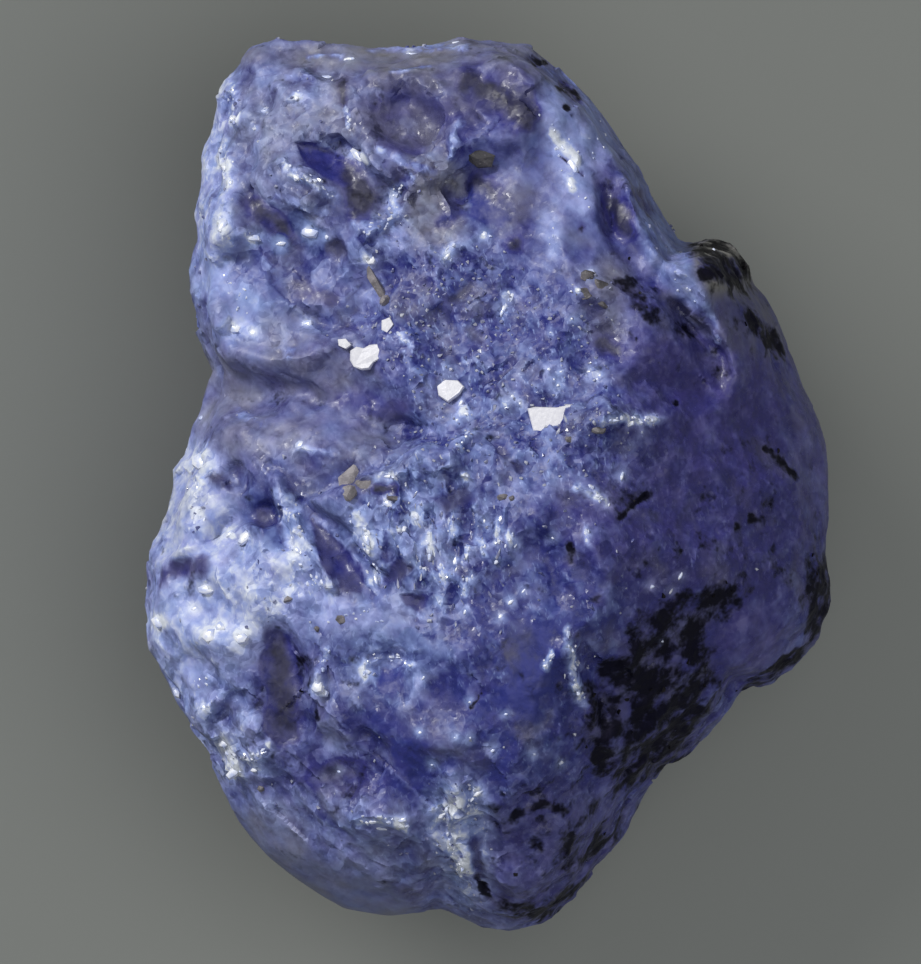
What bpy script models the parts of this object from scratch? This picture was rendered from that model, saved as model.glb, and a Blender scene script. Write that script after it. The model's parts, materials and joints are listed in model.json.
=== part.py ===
"""Rough tanzanite: one broken crystal, about 12 mm long, lying on a flat cleavage face.

The frame is in metres with +Z up. The origin is on the resting face, under the middle of the stone.
The long way of the stone runs along +Y, and its broken upper side looks up.
Sizes below are in millimetres.
"""

import math

import bmesh
import bpy
import numpy as np

MM = 0.001

# Driving dimensions
LENGTH = 11.92
WIDTH = 9.12
THICKNESS = 6.6
GIRDLE_HEIGHT = 3.1
REST_FACE_SINK = 0.7
FINENESS = 8
TRIANGLES = 9300

# The outline is read in this many directions, and the body under it is narrowed over this many of them
ROUND_STEPS = 720
NARROWED_STEPS = 24

# The outline seen from above, clockwise from the top left corner
OUTLINE = (
    (-3.35, 5.50), (-3.18, 5.77), (-2.78, 5.87), (-2.03, 5.81), (-1.35, 5.75), (-0.73, 5.79),
    (-0.36, 5.93), (-0.11, 5.86), (0.50, 5.77), (0.79, 5.61), (1.05, 5.38), (1.50, 4.89),
    (1.86, 4.34), (2.14, 3.81), (2.39, 3.41), (2.54, 3.13), (2.69, 3.15), (2.95, 3.23),
    (3.28, 3.12), (3.46, 2.86), (3.51, 2.63), (3.69, 2.43), (3.84, 2.18), (4.01, 1.74),
    (4.17, 1.29), (4.38, 0.86), (4.50, 0.50), (4.53, -0.10), (4.53, -0.60), (4.49, -1.03),
    (4.56, -1.37), (4.54, -1.70), (4.39, -2.11), (4.15, -2.39), (3.75, -2.71), (3.42, -2.74),
    (3.19, -3.07), (2.53, -3.73), (2.25, -3.83), (2.13, -4.10), (1.87, -4.55), (1.51, -5.09),
    (1.06, -5.61), (0.69, -5.90), (0.35, -5.98), (-0.11, -5.91), (-0.51, -5.73), (-0.70, -5.66),
    (-0.91, -5.75), (-1.33, -5.79), (-1.94, -5.69), (-2.46, -5.38), (-2.94, -5.01), (-3.34, -4.54),
    (-3.55, -4.10), (-3.71, -3.63), (-4.05, -3.23), (-4.18, -3.05), (-4.37, -2.55), (-4.51, -2.10),
    (-4.57, -1.55), (-4.54, -1.10), (-4.37, -0.55), (-4.23, -0.10), (-4.07, 0.31), (-3.81, 1.10),
    (-3.63, 1.47), (-3.78, 1.83), (-3.91, 2.23), (-3.95, 2.70), (-3.87, 3.29), (-3.83, 4.03),
    (-3.67, 4.70), (-3.51, 5.17),
)

# How squarely the upper side meets the girdle in each direction, in degrees from +X
UPPER_SQUARENESS = {-180: 4.2, -150: 4.0, -125: 3.0, -95: 3.4, -60: 3.6, -20: 3.0, 15: 3.0,
                    35: 4.6, 60: 6.0, 85: 5.0, 120: 4.6, 150: 6.0, 166: 5.0, 180: 4.2}
UNDER_SQUARENESS = 3.4

# How the widest line wanders up and down around the stone: height, waves around, start in radians
GIRDLE_WAVES = ((0.42, 1, -2.6), (0.28, 3, 0.7), (0.14, 7, 0.0))
LEAST_DEPTH_UNDER_GIRDLE = 0.3

# Where the sides have drawn in fully, as shares of the way from the girdle up or down
DRAWN_IN = (0.05, 0.55)
UPPER_DRAW = 0.25

# Flat faces of the upper side: a point (x, y, z) and the rise per millimetre along x and y
UPPER_FACES = {
    "upper left block": ((-1.5, 3.6, 5.85), (0.13, -0.07)),
    "upper right facet": ((1.5, 4.3, 5.85), (0.16, -0.20)),
    "right face": ((1.5, 0.2, 6.55), (-0.56, 0.02)),
    "lower right band": ((1.9, -2.5, 6.1), (-0.40, 0.34)),
    "middle": ((0.6, -1.6, 6.5), (0.14, 0.05)),
    "lower left": ((-2.5, -1.5, 5.75), (0.30, 0.08)),
    "bottom": ((0.0, -4.3, 6.0), (0.06, 0.42)),
}

# Flat faces of the hidden underside, given in the same way
UNDER_FACES = {
    "resting face": ((0.0, 0.0, -REST_FACE_SINK), (0.0, 0.0)),
    "left": ((-2.3, 0.0, 0.0), (-0.75, 0.12)),
    "right": ((2.4, 0.4, 0.0), (0.80, 0.05)),
    "top": ((-0.4, 3.5, 0.0), (-0.10, 0.70)),
    "bottom": ((0.3, -3.7, 0.0), (0.08, -0.62)),
    "lower right corner": ((2.0, -2.4, 0.0), (0.50, -0.42)),
}

# Hollows of the upper side: centre, half length and half width, turn in degrees, depth
HOLLOWS = {
    "round hollow under the top rim": ((-1.07, 4.81), (0.69, 0.48), -5, 0.42),
    "head of the slanting face": ((-2.27, 4.35), (0.43, 0.27), -30, 0.28),
    "pit below the slanting face": ((-2.03, 3.10), (0.19, 0.24), 0, 0.20),
    "far side of the grey lump": ((-0.49, 3.90), (0.19, 0.45), 0, 0.22),
    "pit above the left bulge": ((-3.42, 0.03), (0.27, 0.29), -10, 0.32),
    "ring hollow": ((-1.29, -2.47), (0.32, 0.32), 0, 0.36),
    "pit of the left edge": ((-4.03, -2.39), (0.32, 0.21), -15, 0.20),
    "pit of the lower left edge": ((-3.55, -3.11), (0.35, 0.19), 35, 0.24),
    "far side of the upper right facet": ((1.65, 3.55), (0.21, 0.45), 14, 0.22),
    "dark seam": ((2.55, 2.14), (0.56, 0.20), -40, 0.26),
    "hollow of the middle": ((-0.91, 0.57), (0.80, 0.29), -12, 0.20),
    "grain pit": ((-1.51, 0.01), (0.19, 0.16), 0, 0.16),
}

# Slanted faces broken into the upper side, given as the hollows are. They are deepest on their left.
SLANTED_FACES = {
    "slanting": ((-1.83, 3.97), (0.68, 0.34), -40, 0.52),
    "lower slanting": ((-2.92, 3.62), (0.62, 0.27), -32, 0.42),
    "long facet": ((-2.05, -0.90), (0.86, 0.30), -46, 0.50),
    "beside the long facet": ((-2.84, -0.60), (0.40, 0.22), -58, 0.34),
    "deep one of the lower left": ((-2.72, -2.72), (0.84, 0.34), -86, 0.56),
    "below the deep one": ((-1.85, -3.83), (0.50, 0.30), -135, 0.36),
    "under the bar": ((-1.48, -4.84), (0.60, 0.30), 182, 0.36),
    "beside the bottom crest": ((-0.12, -4.95), (0.58, 0.24), -80, 0.36),
}

# Lumps of the upper side, given as the hollows are, with their height last
LUMPS = {
    "grey lump": ((-0.89, 3.79), (0.45, 0.56), 10, 0.28),
    "left bulge": ((-4.14, -0.50), (0.45, 1.07), 16, 0.34),
    "lower left bulge": ((-3.69, -2.10), (0.69, 0.53), -10, 0.26),
    "lowest left bulge": ((-3.25, -3.57), (0.59, 0.51), 10, 0.30),
    "bell-shaped crest": ((-2.30, -2.63), (0.27, 0.51), -8, 0.26),
    "nodule": ((3.11, 2.89), (0.48, 0.45), 0, 0.34),
    "right lobe": ((0.95, -4.90), (0.93, 0.80), 30, 0.18),
    "lower right corner": ((3.42, -2.10), (0.67, 0.48), 30, 0.14),
    "crest of the middle": ((1.59, 1.05), (0.80, 0.69), 30, 0.18),
    "foot of the block": ((-3.11, 2.43), (0.80, 0.53), -10, 0.16),
    "rise below the upper right facet": ((1.09, 2.57), (0.80, 0.53), -20, 0.12),
}

# Grooves: path, half width, depth at the start and at the end
GROOVES = {
    "under the block": (((-4.10, 1.31), (-3.05, 1.15), (-1.85, 1.05), (-0.25, 0.70)), 0.69, 0.95, 0.20),
    "behind the left rim": (((-3.13, 5.21), (-3.23, 4.30), (-3.26, 3.23)), 0.24, 0.18, 0.14),
    "across the left bulge": (((-3.50, -0.55), (-4.17, -1.30)), 0.20, 0.20, 0.26),
    "cleft between the lobes": (((-0.70, -5.90), (-0.55, -5.43), (-0.25, -4.83)), 0.32, 0.36, 0.16),
    "bow of the right lobe": (((0.39, -4.23), (0.90, -4.10), (1.43, -4.39)), 0.16, 0.12, 0.08),
    "behind the front edge": (
        ((1.46, 4.30), (1.67, 3.57), (2.02, 2.89), (2.50, 2.27), (2.85, 1.74)), 0.29, 0.20, 0.14),
    "edge of the lower right band": (((1.35, -2.10), (1.49, -2.90), (1.35, -3.97)), 0.21, 0.14, 0.10),
    "across the block": (((-2.51, 2.17), (-1.58, 2.03), (-0.51, 2.14)), 0.29, 0.16, 0.10),
    "across the middle": (((-0.25, 0.17), (0.42, -0.50), (0.95, -1.43)), 0.27, 0.12, 0.10),
}

# Ridges, given as the grooves are, with their heights
RIDGES = {
    "left rim": (
        ((-3.37, 5.21), (-3.59, 4.43), (-3.70, 3.50), (-3.73, 2.70), (-3.66, 2.09)), 0.27, 0.20, 0.28),
    "between the slanting hollows": (((-2.83, 4.25), (-2.09, 3.71)), 0.15, 0.18, 0.14),
    "left of the long facet": (((-2.78, -0.05), (-2.49, -0.77), (-2.17, -1.38)), 0.17, 0.26, 0.20),
    "right of the long facet": (((-2.01, -0.63), (-1.47, -1.46)), 0.15, 0.16, 0.18),
    "bottom crest": (((-0.57, -3.91), (-0.41, -4.63), (-0.30, -5.19)), 0.21, 0.18, 0.24),
    "bar": (((-1.74, -4.53), (-1.07, -4.50)), 0.12, 0.18, 0.18),
    "right of the round hollow": (((-0.43, 4.94), (-0.42, 4.23), (-0.59, 3.47)), 0.15, 0.16, 0.14),
    "crescent": (((-1.58, 3.26), (-1.15, 3.63), (-0.97, 4.14)), 0.13, 0.12, 0.16),
    "front edge": (((1.81, 4.06), (2.15, 3.34), (2.63, 2.62), (3.06, 1.93)), 0.17, 0.16, 0.22),
    "lower right streak": (((0.95, -2.26), (1.25, -2.77), (1.41, -3.30)), 0.15, 0.14, 0.14),
    "needle near the middle": (((-0.78, 0.17), (-0.49, -0.50), (-0.25, -1.03)), 0.13, 0.10, 0.12),
    "needle beside the long facet": (((-1.26, 0.06), (-1.13, -0.63), (-1.05, -1.30)), 0.12, 0.12, 0.14),
}

# Ledges: path, drop on its right-hand side, half width of the drop, and how far out the ground stays low
LEDGES = {
    "front layer": (
        ((1.43, 5.10), (1.65, 4.43), (1.91, 3.82), (2.34, 3.15), (2.82, 2.43), (3.17, 1.74), (3.30, 0.97)),
        0.46, 0.09, 5.0),
    "inner top rim": (((-0.09, 5.62), (-0.91, 5.53), (-2.01, 5.43), (-3.31, 5.37)), 0.26, 0.05, 1.3),
    "outer top rim": (((-0.19, 5.74), (-0.91, 5.66), (-2.01, 5.62), (-3.18, 5.55)), 0.24, 0.05, 1.3),
    "foot of the block": (((-1.58, 1.47), (-2.11, 1.69), (-2.91, 1.77), (-3.90, 1.82)), 0.24, 0.11, 0.8),
    "smooth lower face": (
        ((-3.55, -3.91), (-2.62, -4.02), (-1.90, -4.53), (-1.29, -5.11), (-0.81, -5.30)), 0.28, 0.15, 1.6),
}

# Faces that broke smoothly: centre, half length and half width, turn in degrees
SMOOTH_FACES = {
    "right face": ((3.0, -0.3), (2.9, 1.6), 90),
    "upper right facet": ((1.5, 4.3), (1.5, 0.9), 115),
    "middle": ((0.8, -2.4), (1.8, 1.0), 90),
    "smooth lower face": ((-2.2, -5.0), (1.5, 0.6), -35),
    "long facet": ((-2.06, -0.93), (0.80, 0.26), -46),
}

# Shallow curved chips all over the stone: how many, how curved, how far they lean, and their seed
CHIPS = (1000, 0.38, 0.11, 11)
CHIPS_FROM_GIRDLE = (0.1, 0.5)
CHIPS_ON_SMOOTH_FACES = 0.2
SMOOTH_FACE_RIM = (0.75, 1.15)

# Larger chips that bite sideways into the girdle, given in the same way
SIDE_CHIPS = (260, 0.30, 0.22, 12)
SIDE_CHIP_SHARE = 0.6
BITE_START = 0.28
DEEPEST_BITE = 0.8
BITE_FROM_GIRDLE = (0.04, 0.40)
UPPER_BITE = 0.35

# Where the floor of a hollow ends and where a slanted face starts to run out, as shares of their size
HOLLOW_FLOOR = 0.35
SLANT_RIM = 0.80
SLANT_SQUARENESS = 3
LEDGE_FADE = 0.12

# Small shifts of the relief and large ones of the flat faces: millimetres, waves along x and y, start
WANDER_EAST = ((0.06, 1.7, 3.1, 0.0), (0.04, 6.3, -4.9, 1.0), (0.02, 9.7, 11.3, 0.4))
WANDER_NORTH = ((0.06, 2.9, -2.3, 2.0), (0.04, 5.1, 5.7, 0.0), (0.02, -12.1, 8.9, 1.7))
FAR_WANDER_EAST = ((0.22, 0.0, 1.9, 0.6), (0.10, 1.3, 4.7, 0.0))
FAR_WANDER_NORTH = ((0.18, 1.7, 0.0, 1.1), (0.08, 4.1, -1.9, 0.0))

STONE_COLOUR = (0.095, 0.090, 0.290, 1.0)
STONE_ROUGHNESS = 0.28
STONE_IOR = 1.69


def rise(low, high, value):
    """0 below low, 1 above high and a smooth climb between them."""
    share = np.clip((value - low) / (high - low), 0.0, 1.0)
    return share * share * (3.0 - 2.0 * share)


def turned(x, y, centre, size, turn):
    """Where each point lies along and across a turned ellipse, as shares of its half sizes."""
    angle = math.radians(turn)
    east = x - centre[0]
    north = y - centre[1]
    along = (east * math.cos(angle) + north * math.sin(angle)) / size[0]
    sideways = (north * math.cos(angle) - east * math.sin(angle)) / size[1]
    return along, sideways


def across(x, y, centre, size, turn):
    """0 at the middle of a turned ellipse and 1 on its edge."""
    return np.hypot(*turned(x, y, centre, size, turn))


def follow(x, y, path):
    """Each point's distance from a path, positive on its left, and how far along it lies, 0 to 1."""
    path = np.asarray(path, float)
    steps = np.hypot(*np.diff(path, axis=0).T)
    nearest = np.full(x.shape, np.inf)
    signed = np.zeros_like(x)
    along = np.zeros_like(x)
    passed = 0.0
    for start, end, step in zip(path[:-1], path[1:], steps):
        heading = (end - start) / step
        east = x - start[0]
        north = y - start[1]
        reach = np.clip(east * heading[0] + north * heading[1], 0.0, step)
        off_x = east - reach * heading[0]
        off_y = north - reach * heading[1]
        distance = np.hypot(off_x, off_y)
        closer = distance < nearest
        nearest = np.where(closer, distance, nearest)
        side = np.sign(heading[0] * off_y - heading[1] * off_x)
        signed = np.where(closer, side * distance, signed)
        along = np.where(closer, (passed + reach) / steps.sum(), along)
        passed += step
    return signed, along


def slant(x, y, centre, size, turn, depth):
    """A face cut in at a slant: level with the ground on its right edge, and deepest on its left."""
    along, sideways = turned(x, y, centre, size, turn)
    from_middle = np.abs(along) ** SLANT_SQUARENESS + np.abs(sideways) ** SLANT_SQUARENESS
    inside = 1.0 - rise(SLANT_RIM, 1.0, from_middle)
    return depth * inside * (0.5 + 0.5 * sideways)


def crease(x, y, path, half_width, first, last):
    """A tapering groove or ridge along a path, first high where it starts and last where it ends."""
    signed, along = follow(x, y, path)
    height = first + (last - first) * along
    return height * rise(0.0, 1.0, 1.0 - np.abs(signed) / half_width)


def ledge(x, y, path, drop, width, reach):
    """A step down on the right of a path. It fades towards its ends, and far from the path."""
    signed, along = follow(x, y, path)
    fade = rise(0.0, LEDGE_FADE, along) * rise(0.0, LEDGE_FADE, 1.0 - along)
    low_side = rise(-width, width, -signed) * (1.0 - rise(reach, 2.0 * reach, -signed))
    return -drop * fade * low_side


def waves(x, y, parts):
    total = np.zeros_like(x)
    for height, along_x, along_y, start in parts:
        total += height * np.sin(along_x * x + along_y * y + start)
    return total


def plane(x, y, face):
    (east, north, height), (slope_x, slope_y) = face
    return height + slope_x * (x - east) + slope_y * (y - north)


def polar_outline():
    """How far the outline and the narrower body under it reach from the middle, in even directions."""
    points = np.array(OUTLINE)
    angles = np.arctan2(points[:, 1], points[:, 0])
    order = np.argsort(angles)
    around = np.linspace(-math.pi, math.pi, ROUND_STEPS, endpoint=False)
    distances = np.hypot(points[:, 0], points[:, 1])
    outline = np.interp(around, angles[order], distances[order], period=2 * math.pi)
    nearby = range(-NARROWED_STEPS, NARROWED_STEPS + 1)
    narrowest = np.min([np.roll(outline, step) for step in nearby], axis=0)
    body = np.mean([np.roll(narrowest, step) for step in nearby], axis=0)
    return around, outline, body


def scallops(points, count, curve, lean, seed):
    """Shallow curved chips that meet in sharp edges all over the stone: their lift at each point."""
    random = np.random.default_rng(seed)
    middles = random.uniform(-1.0, 1.0, (count, 3)) * (WIDTH / 2, LENGTH / 2, THICKNESS / 2)
    middles[:, 2] += THICKNESS / 2
    leans = random.normal(0.0, lean, (count, 3))
    lift = np.full(len(points), np.inf)
    for middle, tilt in zip(middles, leans):
        offset = points - middle
        lift = np.minimum(lift, curve * (offset * offset).sum(axis=1) + offset @ tilt)
    return lift - np.median(lift)


def upper_height(x, y):
    """The upper side before the edges fall away: its flat faces, and the relief broken into them.

    The places are shifted a little first, so that no hollow or crest is drawn quite true.
    """
    far_x = x + waves(x, y, FAR_WANDER_EAST)
    far_y = y + waves(x, y, FAR_WANDER_NORTH)
    height = np.min([plane(far_x, far_y, face) for face in UPPER_FACES.values()], axis=0)
    x, y = x + waves(x, y, WANDER_EAST), y + waves(x, y, WANDER_NORTH)
    for centre, size, turn, depth in HOLLOWS.values():
        height -= depth * (1.0 - rise(HOLLOW_FLOOR, 1.0, across(x, y, centre, size, turn)))
    for face in SLANTED_FACES.values():
        height -= slant(x, y, *face)
    for centre, size, turn, lift in LUMPS.values():
        height += lift * (1.0 - rise(0.0, 1.0, across(x, y, centre, size, turn)))
    for groove in GROOVES.values():
        height -= crease(x, y, *groove)
    for ridge in RIDGES.values():
        height += crease(x, y, *ridge)
    for step in LEDGES.values():
        height += ledge(x, y, *step)
    return height


def under_height(x, y):
    return np.max([plane(x, y, face) for face in UNDER_FACES.values()], axis=0)


def girdle_height(angle):
    """The height of the stone's widest line in each direction."""
    total = np.full_like(angle, GIRDLE_HEIGHT)
    for height, count, start in GIRDLE_WAVES:
        total += height * np.cos(count * angle + start)
    return total


def shape_stone(directions):
    """Carries the points of a unit sphere onto the stone, in millimetres."""
    angle = np.arctan2(directions[:, 1], directions[:, 0])
    level = np.hypot(directions[:, 0], directions[:, 1])
    upward = directions[:, 2] > 0
    upper_squareness = np.interp(np.degrees(angle), list(UPPER_SQUARENESS), list(UPPER_SQUARENESS.values()))
    squareness = np.where(upward, upper_squareness, UNDER_SQUARENESS)
    steepness = np.abs(directions[:, 2])
    size = (level**squareness + steepness**squareness) ** (1.0 / squareness)
    spread = level / size
    depth = steepness / size

    around, outline, body = polar_outline()
    widest = np.interp(angle, around, outline, period=2 * math.pi)
    narrow = np.interp(angle, around, body, period=2 * math.pi)
    drawn_in = rise(*DRAWN_IN, depth) * np.where(upward, UPPER_DRAW, 1.0)
    reach = spread * (widest + (narrow - widest) * drawn_in)
    x = reach * np.cos(angle)
    y = reach * np.sin(angle)
    girdle = girdle_height(angle)
    under = np.minimum(under_height(x, y), girdle - LEAST_DEPTH_UNDER_GIRDLE)
    far_height = np.where(upward, upper_height(x, y), under)
    points = np.column_stack((x, y, girdle + (far_height - girdle) * depth))

    smooth = np.min([across(x, y, *face) for face in SMOOTH_FACES.values()], axis=0)
    roughness = CHIPS_ON_SMOOTH_FACES + (1.0 - CHIPS_ON_SMOOTH_FACES) * rise(*SMOOTH_FACE_RIM, smooth)
    lift = scallops(points, *CHIPS)
    side_lift = scallops(points, *SIDE_CHIPS)
    bite = np.clip(BITE_START - lift - SIDE_CHIP_SHARE * side_lift, 0.0, DEEPEST_BITE)
    bite *= rise(*BITE_FROM_GIRDLE, depth) * spread**3 * np.where(upward, UPPER_BITE, 1.0)
    points[:, :2] *= (1.0 - bite / widest)[:, None]
    points[:, 2] += np.where(upward, roughness, 1.0) * rise(*CHIPS_FROM_GIRDLE, depth) * lift
    return points


def stone_material():
    material = bpy.data.materials.new("rough tanzanite")
    material.use_nodes = True
    surface = material.node_tree.nodes["Principled BSDF"]
    surface.inputs["Base Color"].default_value = STONE_COLOUR
    surface.inputs["Roughness"].default_value = STONE_ROUGHNESS
    surface.inputs["Metallic"].default_value = 0.0
    surface.inputs["IOR"].default_value = STONE_IOR
    material.diffuse_color = STONE_COLOUR
    return material


def thin_out(stone, triangles):
    """The stone's mesh with fewer triangles, kept where its relief needs them."""
    thinner = stone.modifiers.new("thin out", "DECIMATE")
    thinner.ratio = triangles / len(stone.data.polygons)
    graph = bpy.context.evaluated_depsgraph_get()
    thinned = bpy.data.meshes.new_from_object(stone.evaluated_get(graph))
    stone.modifiers.clear()
    return thinned


def cut_resting_face(work):
    """Takes off what is below the floor and closes the cut with one flat face."""
    everything = work.verts[:] + work.edges[:] + work.faces[:]
    bmesh.ops.bisect_plane(work, geom=everything, plane_co=(0, 0, 0), plane_no=(0, 0, 1), clear_inner=True)
    rim = [edge for edge in work.edges if edge.is_boundary]
    bmesh.ops.edgeloop_fill(work, edges=rim)


def fit_to_size(work):
    """Brings the stone to its exact length, width and thickness, over the origin."""
    places = np.array([vertex.co for vertex in work.verts])
    low = places.min(axis=0)
    high = places.max(axis=0)
    middle = (low + high) / 2
    size = np.array((WIDTH, LENGTH, THICKNESS)) * MM
    bmesh.ops.translate(work, verts=work.verts, vec=(-middle[0], -middle[1], 0.0))
    bmesh.ops.scale(work, verts=work.verts, vec=size / (high - low))


def make_stone():
    work = bmesh.new()
    bmesh.ops.create_icosphere(work, subdivisions=FINENESS, radius=1.0)
    directions = np.array([vertex.co for vertex in work.verts])
    directions /= np.linalg.norm(directions, axis=1)[:, None]
    for vertex, place in zip(work.verts, shape_stone(directions) * MM):
        vertex.co = place
    mesh = bpy.data.meshes.new("tanzanite")
    work.to_mesh(mesh)
    work.free()
    stone = bpy.data.objects.new("tanzanite", mesh)
    bpy.context.scene.collection.objects.link(stone)

    thinned = thin_out(stone, TRIANGLES)
    work = bmesh.new()
    work.from_mesh(thinned)
    cut_resting_face(work)
    fit_to_size(work)
    bmesh.ops.recalc_face_normals(work, faces=work.faces)
    work.to_mesh(mesh)
    work.free()
    mesh.materials.append(stone_material())
    return stone


for leftover in list(bpy.data.objects):
    bpy.data.objects.remove(leftover)
make_stone()
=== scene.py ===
"""Rough tanzanite: a broken crystal with its chips, grains, flakes and dark films, lying on its flat face.

Lengths below are in millimetres. Each finished mesh is turned into metres, in the frame of the solid part.
Seen from above, +Y is the end with the raised block and +X is to the right.
"""

import itertools
import json
import math

import bmesh
import bpy
import numpy as np
from mathutils import Matrix, Vector
from mathutils.bvhtree import BVHTree

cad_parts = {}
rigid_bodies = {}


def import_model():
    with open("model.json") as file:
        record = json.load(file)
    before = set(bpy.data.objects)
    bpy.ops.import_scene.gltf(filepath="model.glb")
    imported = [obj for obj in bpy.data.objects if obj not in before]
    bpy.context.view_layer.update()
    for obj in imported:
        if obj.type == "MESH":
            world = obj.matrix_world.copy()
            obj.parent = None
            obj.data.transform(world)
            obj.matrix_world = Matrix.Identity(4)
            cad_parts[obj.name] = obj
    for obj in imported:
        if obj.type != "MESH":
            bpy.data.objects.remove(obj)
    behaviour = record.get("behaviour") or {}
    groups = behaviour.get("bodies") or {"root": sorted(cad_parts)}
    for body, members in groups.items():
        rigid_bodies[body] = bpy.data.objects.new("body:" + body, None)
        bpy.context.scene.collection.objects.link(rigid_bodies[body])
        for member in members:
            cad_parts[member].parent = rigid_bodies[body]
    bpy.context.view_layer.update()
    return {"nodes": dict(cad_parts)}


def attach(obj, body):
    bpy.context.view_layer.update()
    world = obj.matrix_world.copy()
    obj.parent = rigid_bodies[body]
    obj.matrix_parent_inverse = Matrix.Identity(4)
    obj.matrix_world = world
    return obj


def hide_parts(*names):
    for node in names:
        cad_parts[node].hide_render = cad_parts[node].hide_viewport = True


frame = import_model()
MM = 0.001
ROOT = "root"

# The stone's mesh: size of its even faces before thinning, rounds of smoothing, triangles kept, and the
# sharpest join between two faces, in degrees, that is still shaded as round
VOXEL = 0.038
SMOOTHING = 8
TRIANGLES = 190000
SHARPEST_JOIN = 32

# Below this height the stone isn't seen from above. The crease round it reaches this far below and above
UNDERSIDE_TOP = 2.2
WAIST_BELOW = 1.7
WAIST_ABOVE = 0.7

# How many rounds of evening out fill a cut and round off the crease, and how far past its rim a cut is filled
CUT_ROUNDS = 500
WAIST_ROUNDS = 160
CUT_RIM = 1.15

# How strongly each face of the breakage is hollowed
HOLLOWING = 0.5

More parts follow.
